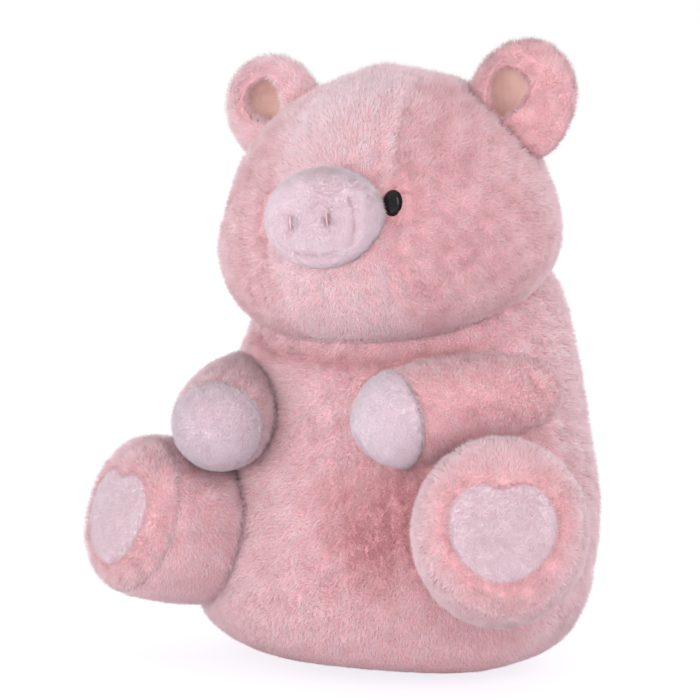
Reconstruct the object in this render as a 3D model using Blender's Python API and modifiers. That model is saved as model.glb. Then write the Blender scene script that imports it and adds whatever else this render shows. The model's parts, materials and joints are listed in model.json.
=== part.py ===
# A seated plush pig: sewn plush covers over fibre stuffing, a pellet bag in the seat,
# and a head, limbs, ears and tail that flex at their seams.
# Metres, +Z up. The pig faces -Y and its own left side is +X.
# The origin is the centre of the flat seat, on the surface that it sits on.

import math

import bmesh
import bpy
from mathutils import Matrix, Vector
from mathutils.bvhtree import BVHTree

# Cloth and clearances
COVER_WALL = 0.0022
LAYER_GAP = 0.0003
SWING_GAP = 0.0008
OVERRUN = 0.03

# Counts and angles of plain round shapes
BALL_SIDES = 12
ROUND_SIDES = 14
STITCH_SIDES = 8
SHARP_ANGLE = 40

# Body: a pear that sits on a wide, nearly flat seat
BODY_WIDTH = 0.189
BODY_DEPTH = 0.150
BODY_HEIGHT = 0.193
SEAT_CUT = 0.0005
BODY_SIDES = 10
# Each ring's height, half width, half depth and forward lean, as shares of the sizes above
BODY_RING_SHARES = (
    (0.000, 0.00, 0.00, 0.00),
    (0.000, 0.64, 0.59, 0.08),
    (0.050, 0.88, 0.82, 0.18),
    (0.165, 0.99, 0.97, 0.14),
    (0.400, 1.00, 1.00, -0.01),
    (0.640, 0.87, 0.87, -0.04),
    (0.860, 0.80, 0.80, -0.16),
    (0.970, 0.58, 0.60, -0.20),
    (1.000, 0.00, 0.00, -0.16),
)

# Pellet bag in the seat
BAG_WIDTH = 0.112
BAG_DEPTH = 0.088
BAG_HEIGHT = 0.034
BAG_SIDES = 8
BAG_RING_SHARES = (
    (0.00, 0.00, 0.00),
    (0.00, 0.60, 0.60),
    (0.30, 0.97, 0.97),
    (0.80, 0.88, 0.88),
    (1.00, 0.46, 0.46),
    (1.00, 0.00, 0.00),
)

# Head: wider than tall, cheeks low, leaning forward and tilted towards its own right
HEAD_WIDTH = 0.1625
HEAD_DEPTH = 0.128
HEAD_HEIGHT = 0.125
HEAD_SINK = 0.0455
HEAD_LEAN = 0.018
HEAD_SIDESTEP = 0.0015
HEAD_TILT = 6
HEAD_SIDES = 10
HEAD_RING_SHARES = (
    (0.000, 0.00, 0.00, 0.12),
    (0.030, 0.46, 0.46, 0.12),
    (0.140, 0.84, 0.84, 0.07),
    (0.320, 1.00, 1.00, 0.02),
    (0.540, 0.92, 0.94, -0.02),
    (0.740, 0.79, 0.83, -0.08),
    (0.920, 0.52, 0.55, -0.12),
    (1.000, 0.00, 0.00, -0.13),
)

# Neck: a ball of fibre in the neck seam, which the head nods and turns on
NECK_RADIUS = 0.029
NECK_DROP = 0.071
NECK_LEAN = 0.008
NECK_SIDES = 24
NOD_SWING = 6
TURN_SWING = 12

# Snout
SNOUT_WIDTH = 0.052
SNOUT_HEIGHT = 0.042
SNOUT_REACH = 0.019
SNOUT_ROOT = 0.012
SNOUT_DROP = 0.003
FACE_SIDESTEP = 0.0020
SNOUT_SIDES = 8
SNOUT_RING_SHARES = (
    (0.00, 0.00, 0.00),
    (0.00, 0.80, 0.80),
    (0.40, 1.04, 1.04),
    (0.86, 0.94, 0.94),
    (0.99, 0.48, 0.48),
    (1.00, 0.00, 0.00),
)
NOSTRIL_SPACING = 0.018
NOSTRIL_WIDTH = 0.005
NOSTRIL_HEIGHT = 0.011
NOSTRIL_DEPTH = 0.0012
STITCH_DIAMETER = 0.0009
STITCH_LENGTH = 0.006

# Safety eyes and their washers
EYE_WIDTH = 0.0092
EYE_HEIGHT = 0.0122
EYE_DOME = 0.0042
EYE_SINK = 0.0008
EYE_SPACING = 0.0570
EYE_RISE = 0.001
SHANK_DIAMETER = 0.0042
SHANK_LENGTH = 0.0100
WASHER_DIAMETER = 0.0125
WASHER_THICKNESS = 0.0014
WASHER_DROP = 0.0010
POCKET_MARGIN = 0.0010

# Ears
EAR_WIDTH = 0.047
EAR_THICKNESS = 0.024
EAR_REACH_LEFT = 0.0405
EAR_REACH_RIGHT = 0.0355
EAR_ROOT = 0.008
EAR_SPREAD_LEFT = 64
EAR_SPREAD_RIGHT = 52
EAR_BACKSET = 0.009
EAR_LEAN_LEFT = 33
EAR_LEAN_RIGHT = 36
EAR_YAW = 3
EAR_BALL = 0.0075
EAR_SWING = 15
EAR_SIDES = 8
EAR_RING_SHARES = (
    (0.00, 0.00, 0.00),
    (0.02, 0.88, 0.80),
    (0.32, 1.04, 1.00),
    (0.68, 0.97, 0.94),
    (0.95, 0.50, 0.54),
    (1.00, 0.00, 0.00),
)
EAR_HOLLOW_WIDTH = 0.022
EAR_HOLLOW_HEIGHT = 0.028
EAR_HOLLOW_DEPTH = 0.014
EAR_HOLLOW_RISE = 0.016
LINING_WALL = 0.0014
LINING_SETBACK = 0.0025

# Arms
ARM_WIDTH = 0.046
ARM_REACH_LEFT = 0.0805
ARM_REACH_RIGHT = 0.089
ARM_ROOT = 0.018
HAND_LENGTH = 0.0235
SHOULDER_LEFT_SHARE = 0.663
SHOULDER_RIGHT_SHARE = 0.638
SHOULDER_AZIMUTH = 76
SHOULDER_SINK = 0.0055
SHOULDER_BALL = 0.016
ARM_TURN_LEFT = 34
ARM_TURN_RIGHT = 17
ARM_DROP_LEFT = 7
ARM_DROP_RIGHT = 6
ARM_SWING_DOWN = -1
ARM_SWING_UP = 14
ARM_SIDES = 8
ARM_RING_SHARES = (
    (0.00, 0.00, 0.00),
    (0.03, 0.56, 0.56),
    (0.22, 0.88, 0.88),
    (0.50, 0.99, 0.99),
    (0.74, 0.94, 0.94),
    (0.93, 0.67, 0.67),
    (1.00, 0.00, 0.00),
)

# Legs
LEG_WIDTH = 0.069
LEG_HEIGHT = 0.073
LEG_REACH = 0.0595
LEG_ROOT = 0.020
FOOT_RIM = 0.011
HIP_LEFT_SHARE = 0.324
HIP_RIGHT_SHARE = 0.300
HIP_AZIMUTH = 58
HIP_SINK = 0.006
HIP_BALL = 0.024
LEG_SPLAY = 28
LEG_RISE_LEFT = 18
LEG_RISE_RIGHT = 16
LEG_SWING_DOWN = -8
LEG_SWING_UP = 2
LEG_SIDES = 8
LEG_RING_SHARES = (
    (0.00, 0.00, 0.00),
    (0.04, 0.60, 0.60),
    (0.30, 0.95, 0.95),
    (0.68, 1.00, 1.00),
    (0.92, 0.98, 0.98),
    (1.00, 0.56, 0.56),
    (1.00, 0.00, 0.00),
)

# Heart pads on the soles
HEART_WIDTH = 0.046
HEART_HEIGHT = 0.045
HEART_WALL = 0.0016
HEART_DROP = 0.002
HEART_POINTS = 24
HEART_NOTCH_SHARE = 0.13
HEART_TAPER_SHARE = 0.12
HEART_NOTCH_SPREAD_SHARE = 0.3

# Tail and the hand-sewn closing seam in the back
TAIL_HEIGHT = 0.050
TAIL_BALL = 0.0050
TAIL_SINK = 0.0008
TAIL_TUBE = 0.0085
TAIL_STEM = 0.014
TAIL_CURL_RADIUS = 0.0085
TAIL_CURL_RISE = 0.012
TAIL_CURL_TURN = 300
TAIL_POINTS = 12
TAIL_TAPER_SHARE = 0.5
TAIL_SWING = 15
SEAM_THREAD = 0.0010
SEAM_BOTTOM = 0.072
SEAM_STITCH = 0.0060
SEAM_STITCHES = 6
SEAM_HALF_WIDTH = 0.0012
SEAM_LIFT = 0.0004

PLUSH_PINK = (0.80, 0.52, 0.56)
PALE_PINK = (0.86, 0.74, 0.79)
LINING_BEIGE = (0.76, 0.56, 0.48)
FIBRE_WHITE = (0.86, 0.86, 0.84)
BAG_WHITE = (0.78, 0.78, 0.76)
EYE_BLACK = (0.012, 0.012, 0.014)
WASHER_WHITE = (0.82, 0.82, 0.80)


# Scene and materials

def clear_scene():
    for old in list(bpy.data.objects):
        bpy.data.objects.remove(old, do_unlink=True)


def make_collection(name):
    collection = bpy.data.collections.new(name)
    bpy.context.scene.collection.children.link(collection)
    return collection


def make_material(name, colour, roughness):
    material = bpy.data.materials.new(name)
    material.use_nodes = True
    shader = material.node_tree.nodes["Principled BSDF"]
    shader.inputs["Base Color"].default_value = (*colour, 1)
    shader.inputs["Roughness"].default_value = roughness
    shader.inputs["Metallic"].default_value = 0
    material.diffuse_color = (*colour, 1)
    return material


clear_scene()
PARTS = make_collection("plush_pig")
CUTTERS = make_collection("cutters")
MATERIALS = {
    "plush": make_material("plush", PLUSH_PINK, 0.9),
    "pale_plush": make_material("pale_plush", PALE_PINK, 0.9),
    "lining": make_material("lining", LINING_BEIGE, 0.7),
    "fibre": make_material("fibre", FIBRE_WHITE, 0.95),
    "bag_cloth": make_material("bag_cloth", BAG_WHITE, 0.85),
    "eye_black": make_material("eye_black", EYE_BLACK, 0.08),
    "washer_plastic": make_material("washer_plastic", WASHER_WHITE, 0.45),
}


# Solids as working objects, which the cutters collection holds until they are a part or used up

def working_object(mesh, name):
    solid = bpy.data.objects.new(name, mesh)
    solid.hide_render = True
    solid.display_type = "WIRE"
    CUTTERS.objects.link(solid)
    return solid


def discard(solid):
    mesh = solid.data
    bpy.data.objects.remove(solid, do_unlink=True)
    bpy.data.meshes.remove(mesh)


def settle(solid):
    """Turn the live modifiers into plain triangles in the object's own mesh."""
    graph = bpy.context.evaluated_depsgraph_get()
    graph.update()
    evaluated = solid.evaluated_get(graph)
    mesh = bpy.data.meshes.new_from_object(evaluated)
    solid.modifiers.clear()
    old = solid.data
    solid.data = mesh
    bpy.data.meshes.remove(old)
    bm = bmesh.new()
    bm.from_mesh(mesh)
    bmesh.ops.triangulate(bm, faces=bm.faces)
    bm.to_mesh(mesh)
    bm.free()
    return solid


def place(solid, frame):
    solid.data.transform(frame)
    return solid


def copy_of(solid, grow=0.0):
    """A copy whose surface is moved out along its normals."""
    mesh = solid.data.copy()
    normals = [vertex.normal.copy() for vertex in mesh.vertices]
    for vertex, normal in zip(mesh.vertices, normals):
        vertex.co += normal * grow
    return working_object(mesh, solid.name + "_copy")


def combine(solid, other, operation):
    """Cut, join or intersect with the other working object, which is used up."""
    boolean = solid.modifiers.new("boolean", "BOOLEAN")
    boolean.operation = operation
    boolean.solver = "EXACT"
    boolean.object = other
    settle(solid)
    discard(other)
    return solid


def cut(solid, other):
    return combine(solid, other, "DIFFERENCE")


def join(solid, other):
    return combine(solid, other, "UNION")


def common(solid, other):
    return combine(solid, other, "INTERSECT")


def publish(solid, name, material, origin=Vector((0, 0, 0))):
    """Make a working object a part, with its origin on its joint."""
    mesh = solid.data
    mesh.transform(Matrix.Translation(-origin))
    mesh.shade_smooth()
    mesh.set_sharp_from_angle(angle=math.radians(SHARP_ANGLE))
    mesh.materials.clear()
    mesh.materials.append(MATERIALS[material])
    solid.name = name
    mesh.name = name
    solid.location = origin
    solid.hide_render = False
    solid.display_type = "TEXTURED"
    CUTTERS.objects.unlink(solid)
    PARTS.objects.link(solid)
    return solid


# Basic shapes

def ball(radius, centre, sides=BALL_SIDES):
    mesh = bpy.data.meshes.new("ball")
    bm = bmesh.new()
    bmesh.ops.create_uvsphere(bm, u_segments=sides, v_segments=sides // 2, radius=radius)
    bmesh.ops.triangulate(bm, faces=bm.faces)
    bm.to_mesh(mesh)
    bm.free()
    return place(working_object(mesh, "ball"), Matrix.Translation(centre))


def socket(radius, centre, sides=BALL_SIDES):
    """A ball whose flat facets still clear a round root of this radius."""
    facet = math.cos(math.pi / sides) ** 2
    return ball(radius / facet + LAYER_GAP, centre, sides)


def ellipsoid(half_sizes, frame, sides=BALL_SIDES):
    solid = ball(1, Vector((0, 0, 0)), sides)
    return place(solid, frame @ Matrix.Diagonal((*half_sizes, 1)))


def cylinder(radius, length, frame, sides=ROUND_SIDES):
    """A cylinder along local Z that starts at the frame's origin."""
    mesh = bpy.data.meshes.new("cylinder")
    bm = bmesh.new()
    bmesh.ops.create_cone(
        bm, cap_ends=True, segments=sides, radius1=radius, radius2=radius, depth=length
    )
    bmesh.ops.triangulate(bm, faces=bm.faces)
    bm.to_mesh(mesh)
    bm.free()
    middle = Matrix.Translation((0, 0, length / 2))
    return place(working_object(mesh, "cylinder"), frame @ middle)


def box(low, high, frame=Matrix.Identity(4)):
    mesh = bpy.data.meshes.new("box")
    bm = bmesh.new()
    bmesh.ops.create_cube(bm, size=1)
    bm.to_mesh(mesh)
    bm.free()
    size = Vector(high) - Vector(low)
    middle = (Vector(high) + Vector(low)) / 2
    shape = Matrix.Translation(middle) @ Matrix.Diagonal((*size, 1))
    return place(working_object(mesh, "box"), frame @ shape)


def ring_form(name, sides, rings):
    """A soft form from a cage of rings: each is (x, y, z, half width, half depth), poles first
    and last. The cage is a sphere whose rings are moved, then subdivided once."""
    mesh = bpy.data.meshes.new(name)
    bm = bmesh.new()
    last = len(rings) - 1
    bmesh.ops.create_uvsphere(bm, u_segments=sides, v_segments=last, radius=1)
    # One subdivision draws a ring of this many sides in by this factor
    drawn_in = (6 + 2 * math.cos(math.tau / sides)) / 8
    for vertex in bm.verts:
        polar = math.acos(max(-1, min(1, -vertex.co.z)))
        x, y, z, half_width, half_depth = rings[round(polar / math.pi * last)]
        around = Vector((vertex.co.x, vertex.co.y))
        if around.length > 0:
            around.normalize()
        vertex.co = Vector((
            x + around.x * half_width / drawn_in,
            y + around.y * half_depth / drawn_in,
            z,
        ))
    bm.to_mesh(mesh)
    bm.free()
    solid = working_object(mesh, name)
    smooth = solid.modifiers.new("smooth", "SUBSURF")
    smooth.levels = 1
    smooth.render_levels = 1
    return settle(solid)


def upright_form(name, sides, width, depth, height, shares, low):
    """A form whose rings are level, from shares of its width, depth and height."""
    rings = [
        (0, -forward * depth / 2, low + up * height, wide * width / 2, deep * depth / 2)
        for up, wide, deep, forward in shares
    ]
    return ring_form(name, sides, rings)


def straight_form(name, sides, width, depth, low, high, shares):
    """A form along local Z from low to high, from shares of its width and depth."""
    rings = [
        (0, 0, low + along * (high - low), wide * width / 2, deep * depth / 2)
        for along, wide, deep in shares
    ]
    return ring_form(name, sides, rings)


def axes_frame(origin, along, side):
    """A frame whose Z runs along and whose X is as near to side as it can be."""
    z = Vector(along).normalized()
    y = z.cross(Vector(side)).normalized()
    x = y.cross(z)
    frame = Matrix((x, y, z)).transposed().to_4x4()
    frame.translation = origin
    return frame


def hit(solid, start, direction):
    """Where a ray first meets the solid, and the outward normal there."""
    mesh = solid.data
    corners = [vertex.co for vertex in mesh.vertices]
    faces = [tuple(face.vertices) for face in mesh.polygons]
    tree = BVHTree.FromPolygons(corners, faces)
    place_hit, normal, _, _ = tree.ray_cast(Vector(start), Vector(direction))
    return place_hit, normal


def turned(solid, pivot, axis, degrees):
    turn = Matrix.Rotation(math.radians(degrees), 4, axis)
    return place(solid, Matrix.Translation(pivot) @ turn @ Matrix.Translation(-pivot))


# Forms that several pieces share

def front_direction(azimuth, side):
    """Level direction, turned from straight ahead towards the given side."""
    angle = math.radians(azimuth)
    return Vector((side * math.sin(angle), -math.cos(angle), 0))


SEAT_FLOOR = COVER_WALL - SEAT_CUT
HEAD_CENTRE = Vector((HEAD_SIDESTEP, -HEAD_LEAN, BODY_HEIGHT + HEAD_HEIGHT / 2 - HEAD_SINK))
NECK_CENTRE = Vector((0, -NECK_LEAN, HEAD_CENTRE.z - NECK_DROP))
HEAD_FRAME = Matrix.Translation(HEAD_CENTRE) @ Matrix.Rotation(-math.radians(HEAD_TILT), 4, "Y")
BODY_FORM = upright_form(
    "body_form", BODY_SIDES, BODY_WIDTH, BODY_DEPTH, BODY_HEIGHT, BODY_RING_SHARES, -SEAT_CUT
)
HEAD_FORM = place(
    upright_form(
        "head_form", HEAD_SIDES, HEAD_WIDTH, HEAD_DEPTH, HEAD_HEIGHT, HEAD_RING_SHARES,
        -HEAD_HEIGHT / 2,
    ),
    HEAD_FRAME,
)


def head_swing_form(grow):
    """The head's form, with the room that it needs around the neck as it turns and nods."""
    form = copy_of(HEAD_FORM, grow)
    turn = math.sin(math.radians(TURN_SWING))
    nod = math.sin(math.radians(NOD_SWING))
    for vertex, start in zip(form.data.vertices, HEAD_FORM.data.vertices):
        from_neck = start.co - NECK_CENTRE
        reach = Vector((from_neck.x, from_neck.y, 0))
        vertex.co.z -= nod * reach.length
        if reach.length > 0:
            outward = reach.normalized()
            corner = 2 * abs(outward.x * outward.y)
            widening = (HEAD_WIDTH - HEAD_DEPTH) / 2 * corner + HEAD_LEAN - NECK_LEAN + HEAD_SIDESTEP
            vertex.co += outward * (turn * widening + nod * max(0, from_neck.z))
    form.data.update()
    return form


def body_solid(inset):
    """The body's form, cut away under the head."""
    return cut(copy_of(BODY_FORM, -inset), head_swing_form(SWING_GAP + inset))


def cut_swing(solid, host, grow, joint):
    """Cut away what the host would reach at each end of the limb's swing."""
    pivot, axis, _, down, up = joint
    for angle in (down, up):
        cut(solid, turned(copy_of(host, grow), pivot, axis, -angle))
    return solid


def limb_solid(form, host, inset, joint, ball_radius):
    """A limb cut by what carries it, with the round root that sits in its host's seam."""
    solid = cut_swing(copy_of(form, -inset), host, SWING_GAP + inset, joint)
    return join(solid, ball(ball_radius - inset, joint[0]))


def split_cover(solid, inner, frame, seam):
    """The hollow cover on each side of a seam across local Z."""
    cut(solid, inner)
    end = copy_of(solid)
    far = BODY_WIDTH
    cut(solid, box((-far, -far, seam - LAYER_GAP / 2), (far, far, far), frame))
    cut(end, box((-far, -far, -far), (far, far, seam + LAYER_GAP / 2), frame))
    return solid, end


# Places and joints of the moving pieces

def host_joint(host, centre, azimuth, side, sink, direction, swing):
    """The pivot, sunk under the host's surface, and a level axis that lifts the limb."""
    surface, normal = hit(host, centre, front_direction(azimuth, side))
    pivot = surface - normal * sink
    axis = Vector(direction).cross(Vector((0, 0, 1))).normalized()
    return pivot, axis, direction, *swing


def arm_direction(side):
    turn = ARM_TURN_LEFT if side > 0 else ARM_TURN_RIGHT
    drop = math.radians(ARM_DROP_LEFT if side > 0 else ARM_DROP_RIGHT)
    level = front_direction(turn, -side)
    return level * math.cos(drop) - Vector((0, 0, math.sin(drop)))


def leg_direction(side):
    rise = math.radians(LEG_RISE_LEFT if side > 0 else LEG_RISE_RIGHT)
    level = front_direction(LEG_SPLAY, side)
    return level * math.cos(rise) + Vector((0, 0, math.sin(rise)))


def arm_joint(side):
    height = BODY_HEIGHT * (SHOULDER_LEFT_SHARE if side > 0 else SHOULDER_RIGHT_SHARE)
    return host_joint(
        BODY_FORM, Vector((0, 0, height)), SHOULDER_AZIMUTH, side, SHOULDER_SINK,
        arm_direction(side), (ARM_SWING_DOWN, ARM_SWING_UP),
    )


def leg_joint(side):
    height = BODY_HEIGHT * (HIP_LEFT_SHARE if side > 0 else HIP_RIGHT_SHARE)
    return host_joint(
        BODY_FORM, Vector((0, 0, height)), HIP_AZIMUTH, side, HIP_SINK,
        leg_direction(side), (LEG_SWING_DOWN, LEG_SWING_UP),
    )


def ear_joint(side):
    """The pivot is on the head's surface. The axis runs along the ear's base, and a positive
    angle folds the ear forward."""
    spread = math.radians(EAR_SPREAD_LEFT if side > 0 else EAR_SPREAD_RIGHT)
    lean = math.radians(EAR_LEAN_LEFT if side > 0 else EAR_LEAN_RIGHT)
    turn = HEAD_FRAME.to_3x3()
    start = HEAD_CENTRE + turn @ Vector((0, EAR_BACKSET, 0))
    direction = turn @ Vector((side * math.sin(spread), 0, math.cos(spread)))
    surface, _ = hit(HEAD_FORM, start, direction)
    axis = turn @ Vector((math.cos(lean), 0, -side * math.sin(lean)))
    along = turn @ Vector((side * math.sin(lean), 0, math.cos(lean)))
    return surface, axis, along, -EAR_SWING, EAR_SWING


def ear_frame(side):
    """Local Z runs up the ear and local -Y looks out of its hollow, a little outward."""
    pivot, axis, along, _, _ = ear_joint(side)
    yaw = Matrix.Rotation(side * math.radians(EAR_YAW), 3, along)
    return axes_frame(pivot, along, yaw @ axis)


def tail_joint():
    surface, normal = hit(BODY_FORM, Vector((0, 0, TAIL_HEIGHT)), Vector((0, 1, 0)))
    pivot = surface - normal * TAIL_SINK
    return pivot, Vector((0, 0, 1)), Vector((0, 1, 0)), -TAIL_SWING, TAIL_SWING


SIDES = {"left": 1, "right": -1}


# Body, seat and neck

def pellet_bag():
    return place(
        straight_form("bag", BAG_SIDES, BAG_WIDTH, BAG_DEPTH, 0, BAG_HEIGHT, BAG_RING_SHARES),
        Matrix.Translation((0, 0, SEAT_FLOOR + LAYER_GAP)),
    )


def cut_sockets(solid):
    """Room for each round root that sits in the body."""
    cut(solid, socket(NECK_RADIUS, NECK_CENTRE, NECK_SIDES))
    for side in SIDES.values():
        cut(solid, socket(SHOULDER_BALL, arm_joint(side)[0]))
        cut(solid, socket(HIP_BALL, leg_joint(side)[0]))
    cut(solid, socket(TAIL_BALL, tail_joint()[0]))
    return solid


def make_body():
    cover = body_solid(0)
    below = BODY_WIDTH
    cut(cover, box((-below, -below, -below), (below, below, 0)))
    cut(cover, body_solid(COVER_WALL))
    publish(cut_sockets(cover), "body_cover", "plush")
    stuffing = cut_sockets(body_solid(COVER_WALL + LAYER_GAP))
    bag = pellet_bag()
    cut(stuffing, copy_of(bag, LAYER_GAP))
    publish(stuffing, "body_stuffing", "fibre")
    publish(bag, "seat_pellet_bag", "bag_cloth")
    neck = ball(NECK_RADIUS, NECK_CENTRE, NECK_SIDES)
    publish(neck, "neck_stuffing", "fibre", NECK_CENTRE)


def make_closing_seam():
    """One thread that runs up the back in ladder stitches, just off the cover."""
    points = []
    for stitch in range(SEAM_STITCHES * 2):
        height = SEAM_BOTTOM + SEAM_STITCH * (stitch // 2)
        sideways = SEAM_HALF_WIDTH * (1 if (stitch + 1) // 2 % 2 else -1)
        surface, normal = hit(BODY_FORM, Vector((sideways, 0, height)), Vector((0, 1, 0)))
        points.append(surface + normal * (SEAM_THREAD / 2 + SEAM_LIFT))
    thread = tube("thread", points, [SEAM_THREAD / 2] * len(points), 1)
    publish(thread, "closing_seam_thread", "plush")


def tube(name, points, radii, resolution):
    """A closed mesh tube along the points."""
    curve = bpy.data.curves.new(name, "CURVE")
    curve.dimensions = "3D"
    curve.bevel_depth = 1
    curve.bevel_resolution = resolution
    curve.use_fill_caps = True
    spline = curve.splines.new("POLY")
    spline.points.add(len(points) - 1)
    for spot, point, radius in zip(spline.points, points, radii):
        spot.co = (*point, 1)
        spot.radius = radius
    source = bpy.data.objects.new(name, curve)
    CUTTERS.objects.link(source)
    graph = bpy.context.evaluated_depsgraph_get()
    mesh = bpy.data.meshes.new_from_object(source.evaluated_get(graph))
    bpy.data.objects.remove(source, do_unlink=True)
    bpy.data.curves.remove(curve)
    bm = bmesh.new()
    bm.from_mesh(mesh)
    bmesh.ops.remove_doubles(bm, verts=bm.verts, dist=min(radii) / 100)
    bmesh.ops.triangulate(bm, faces=bm.faces)
    bmesh.ops.recalc_face_normals(bm, faces=bm.faces)
    bm.to_mesh(mesh)
    bm.free()
    return working_object(mesh, name)


def make_tail():
    """A short stem that runs out of the back into one rising curl."""
    pivot = tail_joint()[0]
    points = [pivot, pivot + Vector((0, TAIL_STEM, 0))]
    radii = [TAIL_TUBE / 2, TAIL_TUBE / 2]
    middle = points[-1] + Vector((TAIL_CURL_RADIUS, TAIL_TUBE / 2, 0))
    for step in range(1, TAIL_POINTS + 1):
        share = step / TAIL_POINTS
        angle = math.radians(180 - TAIL_CURL_TURN * share)
        around = Vector((math.cos(angle), math.sin(angle), 0)) * TAIL_CURL_RADIUS
        points.append(middle + around + Vector((0, 0, TAIL_CURL_RISE * share)))
        radii.append(TAIL_TUBE / 2 * (1 - TAIL_TAPER_SHARE * share))
    curl = tube("curl", points, radii, 1)
    publish(join(curl, ball(TAIL_BALL, pivot)), "tail", "plush", pivot)


# Head and face

def face_hit(sideways, up):
    """The face's surface at a place given in the head's frame, and its normal."""
    turn = HEAD_FRAME.to_3x3()
    start = HEAD_CENTRE + turn @ Vector((sideways, 0, up))
    return hit(HEAD_FORM, start, turn @ Vector((0, -1, 0)))


def eye_frame(side):
    """Local Z looks out of the face and local Y runs up the eye."""
    surface, normal = face_hit(FACE_SIDESTEP + side * EYE_SPACING / 2, EYE_RISE)
    return axes_frame(surface - normal * EYE_SINK, normal, HEAD_FRAME.to_3x3() @ Vector((1, 0, 0)))


def eye_solid(frame, margin=0.0):
    half_sizes = (EYE_WIDTH / 2 + margin, EYE_HEIGHT / 2 + margin, EYE_DOME + margin)
    far = OVERRUN
    eye = ellipsoid(half_sizes, frame)
    cut(eye, box((-far, -far, -far), (far, far, -margin), frame))
    inner_end = frame @ Matrix.Translation((0, 0, -SHANK_LENGTH))
    shank = cylinder(SHANK_DIAMETER / 2 + margin, SHANK_LENGTH + EYE_DOME / 2, inner_end)
    return join(eye, shank)


def washer_frame(frame):
    depth = COVER_WALL - EYE_SINK + WASHER_DROP + WASHER_THICKNESS
    return frame @ Matrix.Translation((0, 0, -depth))


def eye_pocket(frame):
    """Room in the stuffing for the washer and the end of the shank."""
    radius = WASHER_DIAMETER / 2 + POCKET_MARGIN
    length = SHANK_LENGTH + POCKET_MARGIN
    return cylinder(radius, length + OVERRUN, frame @ Matrix.Translation((0, 0, -length)))


def make_eyes():
    for name, side in SIDES.items():
        frame = eye_frame(side)
        publish(eye_solid(frame), "eye_" + name, "eye_black")
        seat = washer_frame(frame)
        washer = cylinder(WASHER_DIAMETER / 2, WASHER_THICKNESS, seat)
        bore = SHANK_DIAMETER / 2 + LAYER_GAP
        below = seat @ Matrix.Translation((0, 0, -WASHER_THICKNESS))
        cut(washer, cylinder(bore, WASHER_THICKNESS * 3, below))
        publish(washer, "eye_washer_" + name, "washer_plastic")


def make_head():
    cover = copy_of(HEAD_FORM)
    cut(cover, copy_of(HEAD_FORM, -COVER_WALL))
    stuffing = copy_of(HEAD_FORM, -COVER_WALL - LAYER_GAP)
    for solid in (cover, stuffing):
        cut(solid, socket(NECK_RADIUS, NECK_CENTRE, NECK_SIDES))
        for side in SIDES.values():
            cut(solid, socket(EAR_BALL, ear_joint(side)[0]))
    for side in SIDES.values():
        frame = eye_frame(side)
        cut(cover, eye_solid(frame, LAYER_GAP))
        cut(stuffing, eye_pocket(frame))
    publish(cover, "head_cover", "plush", NECK_CENTRE)
    publish(stuffing, "head_stuffing", "fibre", NECK_CENTRE)


def snout_frame():
    """Local Z runs forward out of the face and local X to the pig's left."""
    surface, _ = face_hit(FACE_SIDESTEP, -SNOUT_DROP)
    turn = HEAD_FRAME.to_3x3()
    return axes_frame(surface, turn @ Vector((0, -1, 0)), turn @ Vector((1, 0, 0)))


def make_snout():
    frame = snout_frame()
    form = straight_form(
        "snout_form", SNOUT_SIDES, SNOUT_WIDTH, SNOUT_HEIGHT, -SNOUT_ROOT, SNOUT_REACH,
        SNOUT_RING_SHARES,
    )
    place(form, frame)
    cover = copy_of(form)
    cut(cover, copy_of(form, -COVER_WALL))
    stuffing = copy_of(form, -COVER_WALL - LAYER_GAP)
    for solid in (cover, stuffing):
        cut(solid, copy_of(HEAD_FORM, LAYER_GAP))
    forward = frame.to_3x3() @ Vector((0, 0, 1))
    for name, side in SIDES.items():
        start = frame @ Vector((side * NOSTRIL_SPACING / 2, 0, 0))
        surface, normal = hit(form, start, forward)
        dimple = axes_frame(surface, normal, frame.to_3x3() @ Vector((1, 0, 0)))
        half_sizes = (NOSTRIL_WIDTH / 2, NOSTRIL_HEIGHT / 2, NOSTRIL_DEPTH)
        cut(cover, ellipsoid(half_sizes, dimple))
        rise = Matrix.Translation((0, 0, LAYER_GAP + STITCH_DIAMETER / 2 - NOSTRIL_DEPTH))
        thread = (STITCH_DIAMETER / 2, STITCH_LENGTH / 2, STITCH_DIAMETER / 2)
        stitch = ellipsoid(thread, dimple @ rise, STITCH_SIDES)
        publish(stitch, "nostril_stitch_" + name, "pale_plush")
    publish(cover, "snout_cover", "pale_plush")
    publish(stuffing, "snout_stuffing", "fibre")
    discard(form)


def make_ears():
    for name, side in SIDES.items():
        joint = ear_joint(side)
        frame = ear_frame(side)
        reach = EAR_REACH_LEFT if side > 0 else EAR_REACH_RIGHT
        form = place(
            straight_form(
                "ear_form", EAR_SIDES, EAR_WIDTH, EAR_THICKNESS, -EAR_ROOT, reach,
                EAR_RING_SHARES,
            ),
            frame,
        )
        back = limb_solid(form, HEAD_FORM, 0, joint, EAR_BALL)
        half_sizes = (EAR_HOLLOW_WIDTH / 2, EAR_HOLLOW_DEPTH, EAR_HOLLOW_HEIGHT / 2)
        mouth = frame @ Matrix.Translation((0, -EAR_THICKNESS / 2, EAR_HOLLOW_RISE))
        hollow = ellipsoid(half_sizes, mouth)
        lining = copy_of(hollow, -LAYER_GAP)
        cut(lining, copy_of(hollow, -LAYER_GAP - LINING_WALL))
        far = EAR_WIDTH
        front = LINING_SETBACK - EAR_THICKNESS / 2
        cut(lining, box((-far, -far, -far), (far, front, far), frame))
        pivot = joint[0]
        cut_swing(lining, HEAD_FORM, SWING_GAP, joint)
        publish(cut(back, hollow), "ear_back_" + name, "plush", pivot)
        publish(lining, "ear_lining_" + name, "lining", pivot)
        discard(form)


# Limbs

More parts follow.
